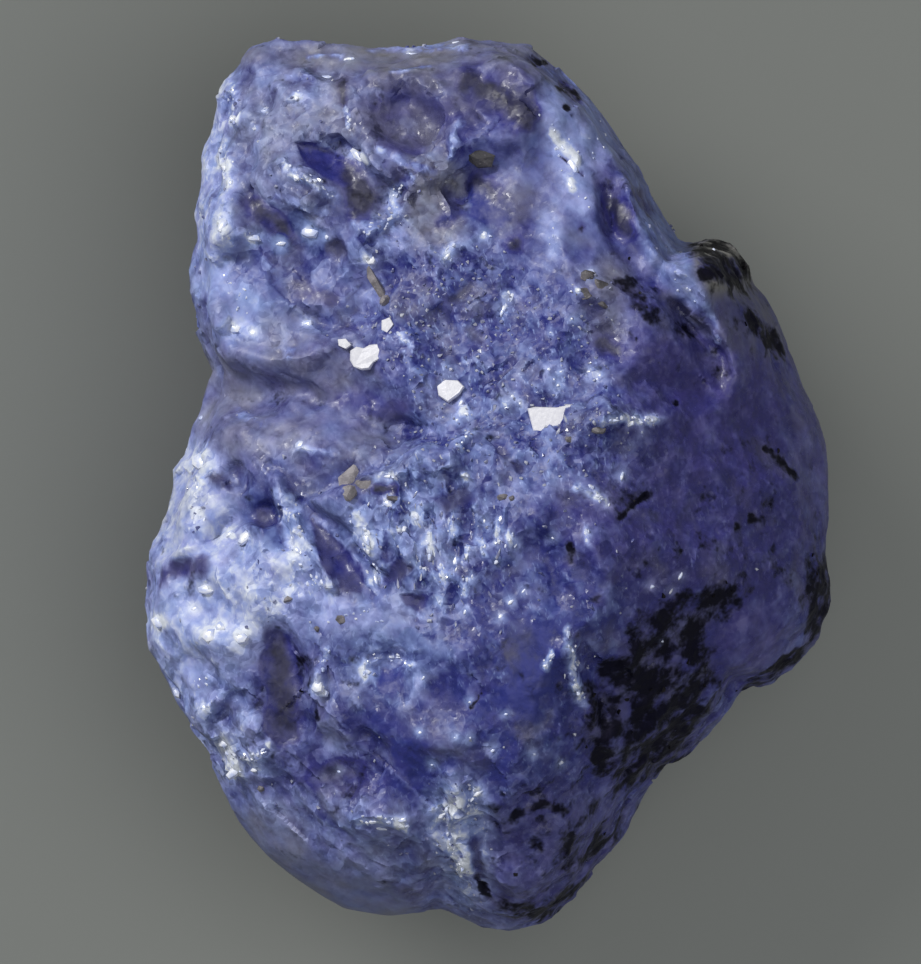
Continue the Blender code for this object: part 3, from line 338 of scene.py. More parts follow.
# Bright spots: where they are, half width, how drawn out they are and their turn in degrees
GLINTS = (
    (1.11, 4.22, 0.045, 3.5, -62), (1.07, 3.95, 0.030, 2.2, -60), (0.97, 4.46, 0.030, 2.5, -60),
    (-2.39, 3.33, 0.090, 1.1, 0), (-2.77, 3.18, 0.047, 1.5, 0), (-2.14, 3.27, 0.040, 1.5, 60),
    (-2.55, 5.11, 0.040, 1.2, 0), (-2.97, 4.94, 0.033, 1, 0), (-3.41, 4.85, 0.062, 1, 80),
    (-3.51, 4.19, 0.047, 1, 0), (-3.43, 3.98, 0.040, 1, 0), (-3.54, 3.41, 0.062, 1.3, 60),
    (-3.13, 3.27, 0.062, 1.6, 0), (-2.57, 4.06, 0.033, 2, -25), (-1.73, 4.33, 0.062, 1.9, -45),
    (-1.26, 3.81, 0.027, 1, 0), (-1.58, 2.95, 0.062, 1.2, 0), (-0.54, 3.02, 0.033, 2.2, 60),
    (-0.06, 3.29, 0.040, 1.2, 0), (-3.39, 2.06, 0.090, 1.1, 0), (-3.13, 1.99, 0.062, 1, 0),
    (-2.41, 2.11, 0.047, 1, 0), (0.29, 2.45, 0.033, 2.5, 70), (0.19, 2.29, 0.040, 1.5, 60),
    (0.82, 1.99, 0.021, 1, 0), (1.10, 2.17, 0.024, 1, 0), (0.91, 1.29, 0.033, 1, 0),
    (1.47, 1.42, 0.029, 1, 0), (-0.30, 0.09, 0.029, 1, 0), (-0.97, -0.45, 0.047, 1.2, 60),
    (-1.62, -0.73, 0.062, 1.8, -70), (-2.54, -0.89, 0.062, 1, 0), (-0.82, -0.77, 0.021, 1, 0),
    (1.75, 0.09, 0.033, 1.6, 80), (1.31, -0.66, 0.027, 1.5, 80), (0.85, -0.73, 0.027, 1, 0),
    (-3.83, 0.30, 0.090, 1, 0), (-3.82, 0.86, 0.047, 1.2, 0), (-2.50, 0.50, 0.062, 1, 0),
    (-4.39, -1.85, 0.090, 1, 0), (-3.71, -2.01, 0.090, 1, 0), (-3.58, -1.91, 0.080, 1, 80),
    (-3.30, -2.05, 0.100, 1, 0), (-3.38, -3.83, 0.090, 1.3, 40), (-3.43, -0.67, 0.062, 1.5, 60),
    (-3.23, -0.71, 0.062, 1.3, 50), (-3.74, -1.42, 0.062, 1.3, 0), (1.34, 2.79, 0.032, 1, 0),
    (1.19, 2.55, 0.029, 1, 0), (-1.50, -1.27, 0.032, 1.8, -70), (-1.31, 0.09, 0.027, 3.5, 0),
    (-1.35, -0.27, 0.040, 1.5, -40), (-1.13, -0.61, 0.032, 1.5, 60), (-0.78, -0.93, 0.032, 2, 85),
    (1.11, -2.42, 0.029, 1.8, -60), (1.18, -2.77, 0.029, 1.8, -75), (0.74, -2.42, 0.024, 1, 0),
    (-0.86, -2.57, 0.024, 1.4, 70), (-1.63, -2.50, 0.047, 1.1, 0), (0.05, -3.54, 0.024, 1.2, 0),
    (-0.25, -2.90, 0.019, 1, 0), (-0.25, -3.37, 0.021, 1, 0), (0.22, -3.06, 0.020, 1.3, 0),
    (0.59, -3.59, 0.021, 1.2, 0), (0.95, -3.70, 0.027, 1.2, 0), (-0.14, -4.10, 0.040, 1.6, 50),
    (-0.55, -4.31, 0.033, 1.6, 60), (-0.47, -4.83, 0.027, 1.6, 80), (-0.35, -5.11, 0.029, 1.8, 70),
    (-0.75, -3.73, 0.024, 1, 0), (-0.91, -3.30, 0.021, 1, 0), (-0.45, -3.37, 0.019, 1, 0),
    (-1.42, -4.58, 0.032, 2.5, 0), (-1.15, -4.47, 0.027, 2, 10), (-1.98, -3.83, 0.029, 1.3, 0),
    (-2.27, -2.69, 0.090, 1, 0), (-2.22, -2.77, 0.062, 1, 0), (-3.10, -3.81, 0.040, 1.6, 20),
    (-3.51, -3.46, 0.062, 1, 0), (-3.90, -1.67, 0.040, 1.2, 0), (-4.17, -2.77, 0.040, 1.4, -60),
    (-3.78, -2.98, 0.040, 1.3, 0), (0.31, 1.14, 0.027, 1, 0), (0.41, 1.05, 0.024, 1, 0),
    (0.23, 0.99, 0.021, 1, 0), (0.79, 1.50, 0.024, 1, 0), (0.95, 1.47, 0.021, 1, 0),
    (0.86, 1.37, 0.021, 1, 0), (1.33, 1.47, 0.024, 1, 0), (1.43, 1.37, 0.021, 1, 0),
    (-0.37, 1.05, 0.040, 1.3, 60), (-0.30, 0.91, 0.032, 1.3, 0), (-0.42, 0.83, 0.027, 1, 0),
    (2.02, 0.67, 0.024, 1, 0), (1.65, 0.82, 0.027, 2, 0), (1.86, 0.78, 0.027, 1.6, 10),
    (2.13, 0.83, 0.029, 1.8, 0), (2.29, -2.10, 0.019, 1, 0), (1.58, -0.30, 0.024, 1.4, 60),
    (1.42, -0.17, 0.027, 1.8, 10), (2.53, -1.23, 0.027, 1.8, 60), (2.15, -1.37, 0.024, 1, 0),
    (2.41, -1.43, 0.021, 1.4, 60), (2.99, 3.10, 0.027, 1, 0), (-0.06, -0.50, 0.024, 2, 80),
    (0.10, -1.03, 0.024, 2, 70), (-0.22, -1.23, 0.021, 2, 80), (-0.45, -1.03, 0.024, 2.2, 85),
    (0.35, -0.83, 0.021, 2, 65), (-0.65, -1.57, 0.021, 2, 80), (-0.31, -1.70, 0.021, 1.6, 70),
    (0.46, -1.43, 0.024, 2, 45), (0.29, -1.57, 0.024, 2, 40), (0.15, -1.77, 0.021, 2, 45),
    (-1.85, 5.63, 0.027, 2.5, 0), (-1.05, 5.70, 0.027, 3, 0), (-0.43, 5.85, 0.040, 1.5, 0),
    (-2.19, 5.39, 0.027, 2.5, 0),
)

# The white plates: outline from above, how far they stand up, and how far they lean towards the window
FLAKES = (
    (((-1.82, 1.62), (-1.77, 1.54), (-1.67, 1.50), (-1.58, 1.51), (-1.53, 1.59), (-1.45, 1.63),
      (-1.43, 1.74), (-1.47, 1.82), (-1.58, 1.81), (-1.65, 1.77), (-1.74, 1.79),
      (-1.82, 1.74)),
     0.03, 0.6),
    (((-1.98, 1.81), (-1.89, 1.77), (-1.82, 1.82), (-1.89, 1.90), (-1.99, 1.89)),
     0, 0.4),
    (((-1.41, 2.02), (-1.34, 1.98), (-1.26, 2.09), (-1.31, 2.18), (-1.41, 2.14)),
     0, 0.5),
    (((-0.65, 1.15), (-0.53, 1.07), (-0.38, 1.18), (-0.33, 1.26), (-0.41, 1.34), (-0.57, 1.35),
      (-0.67, 1.29)),
     0.03, 0.6),
    (((0.57, 0.83), (0.61, 0.69), (0.77, 0.66), (0.95, 0.70), (1.06, 0.86), (1.09, 1.02), (0.90, 0.98),
      (0.63, 0.99), (0.53, 0.97)),
     0.05, 0.5),
)

# Dull grains: where they are, half sizes, turn in degrees, how far they stand up and how pale they are
BROWN_GRAINS = (
    (-1.47, 2.63, (0.36, 0.10, 0.13), -62, 0.01, 0.5), (-1.37, 2.40, (0.11, 0.09, 0.10), -50, 0.01, 0.6),
    (-1.79, 0.06, (0.25, 0.20, 0.10), 50, -0.02, 0.6), (-1.62, -0.03, (0.19, 0.14, 0.08), 10, -0.03, 0.5),
    (-1.84, -0.13, (0.13, 0.15, 0.08), 0, -0.03, 0.5), (-1.23, -0.22, (0.16, 0.05, 0.05), -8, 0, 0.3),
    (1.46, 0.70, (0.12, 0.08, 0.07), 0, 0.01, 0.3), (1.31, 2.73, (0.13, 0.11, 0.07), 0, -0.03, 0.1),
    (1.48, 2.60, (0.12, 0.14, 0.07), 30, -0.03, 0.1), (1.27, 2.50, (0.13, 0.11, 0.07), 0, -0.03, 0.15),
    (1.52, 2.40, (0.13, 0.11, 0.07), 0, -0.03, 0.1), (-3.02, -4.07, (0.07, 0.05, 0.05), 0, 0, 0.4),
    (-3.71, -3.67, (0.05, 0.05, 0.05), 0, 0, 0.4), (-0.11, 4.37, (0.24, 0.24, 0.12), 20, -0.03, 0.0),
    (0.18, -0.19, (0.09, 0.05, 0.05), 0, 0, 0.4), (0.31, -0.21, (0.05, 0.05, 0.04), 0, 0, 0.4),
    (-1.95, -1.81, (0.09, 0.07, 0.05), 0, 0, 0.3), (-2.27, -1.94, (0.05, 0.05, 0.04), 0, 0, 0.3),
    (-2.65, -1.54, (0.09, 0.05, 0.05), 30, 0, 0.3), (1.06, 0.57, (0.07, 0.05, 0.05), 0, 0, 0.4),
)

# The way a face looks that throws the small lamp's light straight up
CATCH_LIGHT = (-0.304, 0.315, 0.899)

# The solid part's deepest cuts, which broken stone partly fills: centre, half sizes, turn in degrees and the
# share of the depth that is left
CUTS = (
    ((-1.07, 4.81), (0.69, 0.48), -5, 0.55), ((-2.27, 4.35), (0.43, 0.27), -30, 0.45),
    ((-2.03, 3.10), (0.19, 0.24), 0, 0.50), ((-1.29, -2.47), (0.32, 0.32), 0, 0.55),
    ((-1.83, 3.97), (0.68, 0.36), -40, 0.42), ((-2.92, 3.62), (0.64, 0.30), -32, 0.42),
    ((-2.05, -0.90), (0.88, 0.34), -46, 0.70), ((-2.72, -2.72), (0.86, 0.37), -86, 0.35),
    ((-1.85, -3.83), (0.52, 0.34), -135, 0.40), ((-1.48, -4.84), (0.64, 0.36), 182, 0.12),
    ((-0.12, -4.95), (0.60, 0.28), -80, 0.35),
)

# Surface values of the hidden sides and of where no region reaches, then each value's place in such a row
HIDDEN_SIDES = (0.6, 0.5, 0.1, 0.0, 0.62, 0.30, 0.50, 0.10, 0.22, 0.4)
PLAIN = (0.3, 0.4, 0.2, 0.0, 0.50, 0.25, 0.40, 0.10, 0.15, 0.4)
BROKEN, CHIPPED, GRAINY, NEEDLED, FROSTED, PALE, VIOLET, GREY, DARK, SPARKLE = range(10)

# The kinds of breakage: their value, size in millimetres, lean, seed, stretch, turn in degrees, height in
# shares of the size, how pale their crests are, and how far the tone varies from face to face
BREAKAGE = (
    (BROKEN, 0.46, 1.6, 21, (1.7, 0.8, 1.0), -42, 0.30, 0.7, 0.60),
    (CHIPPED, 0.20, 1.6, 22, (1.4, 0.9, 1.0), -50, 0.17, 0.8, 0.50),
    (GRAINY, 0.10, 0.4, 23, (1.0, 1.0, 1.0), 0, -0.06, -0.4, 0.5),
    (NEEDLED, 0.13, 1.0, 24, (0.8, 3.0, 1.5), 4, 0.09, 1.0, 0.7),
)

# What is strewn over the stone: how many shapes, their half sizes and corners, the least gap, the most on a
# square millimetre, the smallest and largest scale, the widest turns either way, and the seed
STREWN = {
    "crystal-grains": (7, (0.05, 0.042, 0.035), 11, 0.06, 60.0, 0.35, 1.0,
                       (-math.pi, -math.pi, -math.pi), (math.pi, math.pi, math.pi), 3),
    "needles": (5, (0.026, 0.110, 0.022), 14, 0.06, 24.0, 0.4, 1.1, (-0.4, -0.3, -0.55), (0.4, 0.3, 0.65), 4),
    "graphite-flecks": (6, (0.055, 0.045, 0.014), 12, 0.10, 26.0, 0.3, 1.3,
                        (-0.6, -0.6, -math.pi), (0.6, 0.6, math.pi), 5),
}


def rise(low, high, value):
    """0 below low, 1 above high and a smooth climb between them."""
    share = np.clip((value - low) / (high - low), 0.0, 1.0)
    return share * share * (3.0 - 2.0 * share)


def across(points, centre, size, turn):
    """0 at the middle of a turned ellipse seen from above, and 1 on its edge."""
    angle = math.radians(turn)
    east = points[:, 0] - centre[0]
    north = points[:, 1] - centre[1]
    along = (east * math.cos(angle) + north * math.sin(angle)) / size[0]
    sideways = (north * math.cos(angle) - east * math.sin(angle)) / size[1]
    return np.hypot(along, sideways)


def chips(points, size, lean, seed, stretch=(1.0, 1.0, 1.0), turn=0.0):
    """Hollowed faces that meet in sharp crests: their height in shares of their size, and a tone for each."""
    table = np.random.default_rng(seed).random((16, 16, 16, 7)).astype(np.float32)
    places = points @ np.array(Matrix.Rotation(math.radians(turn), 3, "Z")) / (size * np.array(stretch))
    cells = np.floor(places).astype(int)
    lowest = np.full(len(points), np.inf)
    tone = np.zeros(len(points))
    for step in itertools.product((-1, 0, 1), repeat=3):
        cell = cells + step
        draw = table[cell[:, 0] % 16, cell[:, 1] % 16, cell[:, 2] % 16]
        offset = places - cell - draw[:, :3]
        lift = HOLLOWING * (offset * offset).sum(axis=1) + lean * (offset * (draw[:, 3:6] - 0.5)).sum(axis=1)
        nearer = lift < lowest
        lowest[nearer] = lift[nearer]
        tone[nearer] = draw[nearer, 6]
    return lowest - lowest.mean(), tone - 0.5


def from_path(points, path):
    """Each point's distance from a path seen from above."""
    nearest = np.full(len(points), np.inf)
    for start, end in itertools.pairwise(path if len(path) > 1 else path * 2):
        start = np.array(start)
        way = np.array(end) - start
        offset = points[:, :2] - start
        share = np.clip(offset @ way / max(way @ way, 1e-9), 0.0, 1.0)
        np.minimum(nearest, np.hypot(*(offset - share[:, None] * way).T), out=nearest)
    return nearest


def add_marks(points, values):
    """Lays the marks over the surface values, and gives how far they raise each point."""
    lift = np.zeros(len(points))
    # Ragged outlines: the places wander by about a tenth of a millimetre, and crests break off here and there
    east = 0.12 * chips(points, 0.42, 1.2, 31)[0] + 0.06 * chips(points, 0.15, 1.2, 34)[0]
    north = 0.12 * chips(points, 0.42, 1.2, 32)[0] + 0.06 * chips(points, 0.15, 1.2, 35)[0]
    shifted = points + np.column_stack((east, north, np.zeros(len(points))))
    ragged = 1.2 * chips(points, 0.13, 1.3, 33)[0]
    shown = np.clip(0.75 + 1.4 * chips(points, 0.075, 1.0, 37, (0.8, 1.5, 1.0), 20)[1], 0.15, 1.0)
    upper = rise(UNDERSIDE_TOP - 1.2, UNDERSIDE_TOP, points[:, 2])
    for kind, (height, row) in MARK_KINDS.items():
        for half_width, *path in MARKS[kind]:
            low = np.min(path, axis=0) - 2.0 * half_width
            high = np.max(path, axis=0) + 2.0 * half_width
            in_box = ((shifted[:, :2] > low) & (shifted[:, :2] < high)).all(axis=1)
            near = np.flatnonzero((upper > 0) & in_box)
            distance = from_path(shifted[near], path) / half_width + ragged[near]
            weight = (1.0 - rise(0.3, 1.6, distance)) * upper[near]
            if height > 0:
                weight *= shown[near]
            values[near] += weight[:, None] * (np.array(row) - values[near])
            lift[near] += height * (1.0 - rise(-0.4, 1.5, distance)) * upper[near]
    return lift


def edge_ends(mesh):
    """The numbers of the two points that each edge joins."""
    ends = np.empty(2 * len(mesh.edges), np.int32)
    mesh.edges.foreach_get("vertices", ends)
    return ends.reshape(-1, 2)


def neighbour_sum(first, second, rows):
    """For each point, the sum of the rows of the points that it shares an edge with."""
    count = len(rows)
    return np.column_stack([
        np.bincount(first, row[second], count) + np.bincount(second, row[first], count) for row in rows.T])


def stretched(mesh, points, inside, rounds):
    """The points in and beside a part of the mesh, and where they lie when that part is stretched flatter."""
    ends = edge_ends(mesh)
    near, ends = np.unique(ends[inside[ends].any(axis=1)], return_inverse=True)
    first, second = ends.reshape(-1, 2).T
    free = inside[near]
    count = neighbour_sum(first, second, np.ones((len(near), 1)))
    skin = points[near]
    for _ in range(rounds):
        skin[free] = (neighbour_sum(first, second, skin) / count)[free]
    return near, skin


def fill_cuts(mesh, points):
    """Draws the deepest cuts towards a skin that is stretched over them."""
    for centre, size, turn, left_open in CUTS:
        inside = (across(points, centre, size, turn) < CUT_RIM) & (points[:, 2] > UNDERSIDE_TOP)
        near, skin = stretched(mesh, points, inside, CUT_ROUNDS)
        points[near] = left_open * points[near] + (1.0 - left_open) * skin


def fill_waist(mesh, points):
    """Rounds off the crease that runs around the stone above its underside, and leaves what stands out."""
    inside = (points[:, 2] > UNDERSIDE_TOP - WAIST_BELOW) & (points[:, 2] < UNDERSIDE_TOP + WAIST_ABOVE)
    near, skin = stretched(mesh, points, inside, WAIST_ROUNDS)
    outward = points[near] * (1.0, 1.0, 0.0)
    outward /= np.linalg.norm(outward, axis=1)[:, None]
    way = skin - points[near]
    points[near] += way * ((way * outward).sum(axis=1) > 0.0)[:, None]


def sink_facets(points, values):
    """Cuts the clean faces in: changes the surface values there and gives how far each point is raised."""
    lift = np.zeros(len(points))
    wobble = 0.7 * chips(points, 0.16, 1.2, 36)[0]
    upper = points[:, 2] > UNDERSIDE_TOP
    for depth, ragged, pale, corners in SUNK_FACETS:
        outside = np.full(len(points), -np.inf)
        for (x0, y0), (x1, y1) in zip(corners, corners[1:] + corners[:1]):
            length = math.hypot(x1 - x0, y1 - y0)
            away = ((y0 - y1) * (points[:, 0] - x0) + (x1 - x0) * (points[:, 1] - y0)) / length
            outside = np.maximum(outside, away)
        outside += ragged * wobble
        weight = (1.0 - rise(-0.02, 0.03, outside)) * upper
        row = np.array(SUNK)
        row[PALE] = pale
        values += weight[:, None] * (row - values)
        lift -= depth * (1.0 - rise(-0.06, 0.015, outside)) * upper
    return lift


def surface_values(points):
    """The region table's values at each point, blended from region to region."""
    total = np.full(len(points), 0.02)
    values = total[:, None] * np.array(PLAIN)
    for centre, size, turn, row in REGIONS.values():
        weight = np.exp(-1.6 * across(points, centre, size, turn) ** 2)
        total += weight
        values += weight[:, None] * np.array(row)
    values /= total[:, None]
    seen = rise(UNDERSIDE_TOP - 1.9, UNDERSIDE_TOP + 0.4, points[:, 2])[:, None]
    return values * seen + np.array(HIDDEN_SIDES) * (1.0 - seen)


def read(mesh, what="co"):
    """A mesh's vertex places or normals as an array."""
    source = mesh.vertices if what == "co" else mesh.vertex_normals
    flat = np.empty(3 * len(source), np.float32)
    source.foreach_get("co" if what == "co" else "vector", flat)
    return flat.reshape(-1, 3).astype(float)


def write(mesh, points):
    """Moves a mesh's vertices."""
    mesh.vertices.foreach_set("co", points.astype(np.float32).ravel())
    mesh.update()


def link(name, data):
    """A new object in the scene with that mesh, light or camera."""
    made = bpy.data.objects.new(name, data)
    bpy.context.scene.collection.objects.link(made)
    return made


def finished_mesh(made):
    """The object's mesh as its modifiers leave it; the modifiers are then removed."""
    graph = bpy.context.evaluated_depsgraph_get()
    mesh = bpy.data.meshes.new_from_object(made.evaluated_get(graph))
    made.modifiers.clear()
    made.data = mesh
    return mesh


def stone_blank():
    """The solid stone made again of small even faces, with its broad facets softly joined."""
    mesh = frame["nodes"]["tanzanite"].data.copy()
    work = bmesh.new()
    work.from_mesh(mesh)
    bmesh.ops.remove_doubles(work, verts=work.verts, dist=0.001 * MM)
    bmesh.ops.scale(work, verts=work.verts, vec=(1 / MM, 1 / MM, 1 / MM))
    work.to_mesh(mesh)
    work.free()
    mesh.materials.clear()
    made = link("tanzanite-stone", mesh)
    remesh = made.modifiers.new("even faces", "REMESH")
    remesh.mode = "VOXEL"
    remesh.voxel_size = VOXEL
    smooth = made.modifiers.new("soft joins", "SMOOTH")
    smooth.iterations = SMOOTHING
    finished_mesh(made)
    return made


def relief(points, values):
    """How far each point stands out of or sinks into the blank, in millimetres."""
    lift = np.zeros(len(points))
    for column, size, lean, seed, stretch, turn, height, _, _ in BREAKAGE:
        lift += height * values[:, column] * chips(points, size, lean, seed, stretch, turn)[0]
    return lift


def breakage_tone(points, values):
    """How much paler the faces and crests of the breakage make each point."""
    tone = np.zeros(len(points))
    for column, size, lean, seed, stretch, turn, _, on_crests, by_face in BREAKAGE:
        lift, face = chips(points, size, lean, seed, stretch, turn)
        tone += values[:, column] * (on_crests * lift + by_face * face)
    return tone


def glow(points):
    """Painted glow: paleness painted around each bright spot, as the halo of its light."""
    paler = np.zeros(len(points))
    reach = 0.35
    for x, y, radius, _, _ in GLINTS:
        near = np.flatnonzero((np.abs(points[:, 0] - x) < reach) & (np.abs(points[:, 1] - y) < reach))
        distance = np.hypot(points[near, 0] - x, points[near, 1] - y)
        paler[near] = np.maximum(paler[near], np.exp(-((distance / (0.045 + 1.3 * radius)) ** 2)))
    return paler * (points[:, 2] > UNDERSIDE_TOP)


def thin_out(made):
    """Leaves most triangles to the upper side, which has the fine relief."""
    mesh = made.data
    points = read(mesh)
    group = made.vertex_groups.new(name="may thin")
    least = 0.04
    share = least + (1.0 - least) * (1.0 - rise(UNDERSIDE_TOP - 0.6, UNDERSIDE_TOP + 0.2, points[:, 2]))
    for index, weight in enumerate(share):
        group.add((index,), float(weight), "REPLACE")
    thinner = made.modifiers.new("thin out", "DECIMATE")
    thinner.ratio = TRIANGLES / (2 * len(mesh.polygons))
    thinner.vertex_group = group.name
    finished_mesh(made)
    made.vertex_groups.clear()


def crests(mesh, points, normals):
    """Above 0 where the surface stands out between its neighbours and below 0 where it is hollow."""
    first, second = edge_ends(mesh).T
    count = neighbour_sum(first, second, np.ones((len(points), 1)))
    stands_out = ((points - neighbour_sum(first, second, points) / count) * normals).sum(axis=1)
    length = np.linalg.norm(points[first] - points[second], axis=1)
    spread = np.bincount(first, length, len(points)) + np.bincount(second, length, len(points))
    return stands_out * count[:, 0] / spread


def shade_round(mesh):
    """Shades a mesh as round, but for its sharpest joins."""
    mesh.polygons.foreach_set("use_smooth", np.ones(len(mesh.polygons), bool))
    mesh.set_sharp_from_angle(angle=math.radians(SHARPEST_JOIN))


def keep(mesh, name, numbers):
    """Stores a number at each vertex for the material."""
    mesh.attributes.new(name, "FLOAT", "POINT").data.foreach_set("value", np.asarray(numbers, np.float32))


class Value:
    """A node's output that takes part in sums, so that a material's maths reads as plain Python."""

    def __init__(self, made_in, socket):
        self.made_in = made_in
        self.socket = socket

    def maths(self, operation, other):
        return self.made_in.out("ShaderNodeMath", {"operation": operation}, {0: self, 1: other})

    def __add__(self, other):
        return self.maths("ADD", other)

    def __sub__(self, other):
        return self.maths("SUBTRACT", other)

    def __mul__(self, other):
        return self.maths("MULTIPLY", other)

    def rise(self, low, high):
        """0 below low, 1 above high and a smooth climb between them."""
        return self.made_in.out("ShaderNodeMapRange", {"interpolation_type": "SMOOTHSTEP"}, {
            "Value": self, "From Min": low, "From Max": high})


class Nodes:
    """A node tree that is put together node by node."""

    def __init__(self, tree):
        self.tree = tree

    def node(self, kind, settings=None, sockets=None):
        """A node of that type: its settings are set first, then its sockets' values or links."""
        made = self.tree.nodes.new(kind)
        for key, setting in (settings or {}).items():
            setattr(made, key, setting)
        for key, value in (sockets or {}).items():
            if isinstance(key, int):
                socket = made.inputs[key]
            else:
                socket = next(s for s in made.inputs if s.name == key and s.enabled)
            if isinstance(value, Value):
                value = value.socket
            if isinstance(value, bpy.types.NodeSocket):
                self.tree.links.new(value, socket)
            else:
                socket.default_value = value
        return made

    def out(self, kind, settings=None, sockets=None, name=None):
        """The first shown output of a new node, or the one of that name."""
        made = self.node(kind, settings, sockets)
        return Value(self, next(s for s in made.outputs if s.enabled and name in (None, s.name)))


class Finish(Nodes):
    """A material, with the places on the stone in millimetres."""

    def __init__(self, name):
        self.material = bpy.data.materials.new(name)
        self.material.use_nodes = True
        super().__init__(self.material.node_tree)
        self.tree.nodes.clear()
        place = self.node("ShaderNodeTexCoord").outputs["Object"]
        self.place = self.vector("SCALE", place, scale=1 / MM)

    def vector(self, operation, first, second=None, scale=None):
        """Vector maths with a second vector or a scale."""
        sockets = {0: first, 1: second, "Scale": scale}
        sockets = {key: value for key, value in sockets.items() if value is not None}
        return self.out("ShaderNodeVectorMath", {"operation": operation}, sockets)

    def mix(self, share, first, second):
        """The first colour where the share is 0 and the second where it is 1."""
        return self.out("ShaderNodeMix", {"data_type": "RGBA"}, {"Factor": share, "A": first, "B": second})

    def kept(self, name):
        """What keep() stored on the mesh under that name."""
        return self.out("ShaderNodeAttribute", {"attribute_name": name}, {}, "Fac")

    def noise(self, scale, detail=4.0, roughness=0.6, place=None, name=None):
        """Soft noise; the scale is in rounds per millimetre."""
        sockets = {"Vector": place or self.place, "Scale": scale, "Detail": detail, "Roughness": roughness}
        return self.out("ShaderNodeTexNoise", {}, sockets, name)

    def cells(self, scale, name="Color", place=None):
        """A random colour for each of many cells, or how far it is to their middle."""
        return self.out("ShaderNodeTexVoronoi", {}, {"Vector": place or self.place, "Scale": scale}, name)

    def drawn_out(self, turn, scale, place):
        """Places turned about +Z, in degrees from +Y, and scaled across, along and up."""
        return self.out("ShaderNodeMapping", {"vector_type": "TEXTURE"}, {
            "Vector": place, "Rotation": (0.0, 0.0, math.radians(turn)),
            "Scale": tuple(1.0 / part for part in scale)})

    def streaks(self, turn, scale, detail):
        """Noise drawn out into streaks; the turn and the scale are as in drawn_out."""
        return self.noise(1.0, detail, 0.62, self.drawn_out(turn, scale, self.place))

    def bump(self, strength, distance, height, **more):
        """A normal that follows a height; the distance is in millimetres."""
        return self.out("ShaderNodeBump", {}, {
            "Strength": strength, "Distance": distance * MM, "Height": height, **more})

    def skin(self, colour, roughness, **more):
        """A Principled shader; an underscore stands for a space in the names of its other sockets."""
        more = {name.replace("_", " "): value for name, value in more.items()}
        return self.out("ShaderNodeBsdfPrincipled", {}, {
            "Base Color": colour, "Roughness": roughness, **more})

    def made_of(self, **shaders):
        """The finished material, from the shader of its Surface and that of its Volume."""
        self.node("ShaderNodeOutputMaterial", {}, shaders)
        return self.material


# Refraction of the crystal, and the share of even its clearest faces that is scratched and clouded
CRYSTAL_IOR = 1.69
LEAST_COVER = 0.66

# What light becomes on its way through the crystal
DEPTH_TINT = (0.33, 0.285, 0.79, 1.0)
DEPTH_DENSITY = 170.0

# Colours of the stone's skin, with painted highlight and painted shade
DEEP_BLUE = (0.016, 0.026, 0.240, 1.0)
MILK = (0.305, 0.410, 0.795, 1.0)
VIOLET_DEEP = (0.046, 0.038, 0.245, 1.0)
VIOLET_MILK = (0.360, 0.355, 0.720, 1.0)
# Silver past a paleness of 1: on the palest crests, and as painted highlight on the blown highlights and
# glows
SILVER = (0.800, 0.850, 0.950, 1.0)
DUST = (0.230, 0.225, 0.215, 1.0)
# Painted shade: the near black that the lowest paleness turns the skin towards, as in the deep shade marks
SHADE = (0.010, 0.009, 0.020, 1.0)
FILM = (0.006, 0.005, 0.010, 1.0)


def crystal_colour(finish, patches, grain, faces):
    """Deep blue or violet in the clear hollows, milky on what stands out, silver on the sharpest crests and
    painted highlights, near black in painted shade.
    """
    chipped = finish.kept("chipped")
    sparkle = finish.kept("sparkle")
    streaks = (finish.streaks(38, (5.5, 2.0, 4.0), 2.0) - 0.5) * (sparkle * 0.6 + 0.4)
    # Painted glints: small bright flecks of paleness from streaked noise, where the stone sparkles
    flecks = finish.streaks(14, (24.0, 9.0, 16.0), 1.0).rise(0.62, 0.72)
    mottle = (finish.noise(7.5, 2.0) - 0.5) * (sparkle + 0.9)
    pale = finish.kept("pale")
    spread = pale * 0.5 + 0.4
    pale = pale + (streaks * 1.5 + mottle * 0.45 + (patches - 0.5) * 0.9) * spread
    pale = pale + (grain - 0.5) * sparkle * 0.5
    # Paler broken faces, and the painted glints
    pale = pale + faces * (chipped * 1.1 + 0.1) * spread + flecks * sparkle * 0.6
    hue = finish.kept("violet") + (finish.noise(3.6, 2.0, 0.55) - 0.5) * 1.1
    blue = finish.mix(pale, DEEP_BLUE, MILK)
    violet = finish.mix(pale, VIOLET_DEEP, VIOLET_MILK)
    dusty = finish.kept("grey") + (finish.noise(1.6, 2.0) - 0.56) * 1.5
    colour = finish.mix(dusty * 0.8, finish.mix(hue, blue, violet), DUST)
    # Painted shade: below a paleness of -0.15 the colour goes towards SHADE
    colour = finish.mix((pale + 0.15) * -1.0, colour, SHADE)
    # Past a paleness of 1 the colour goes towards SILVER, partly painted highlight
    return finish.mix(pale - 1.0, colour, SILVER)


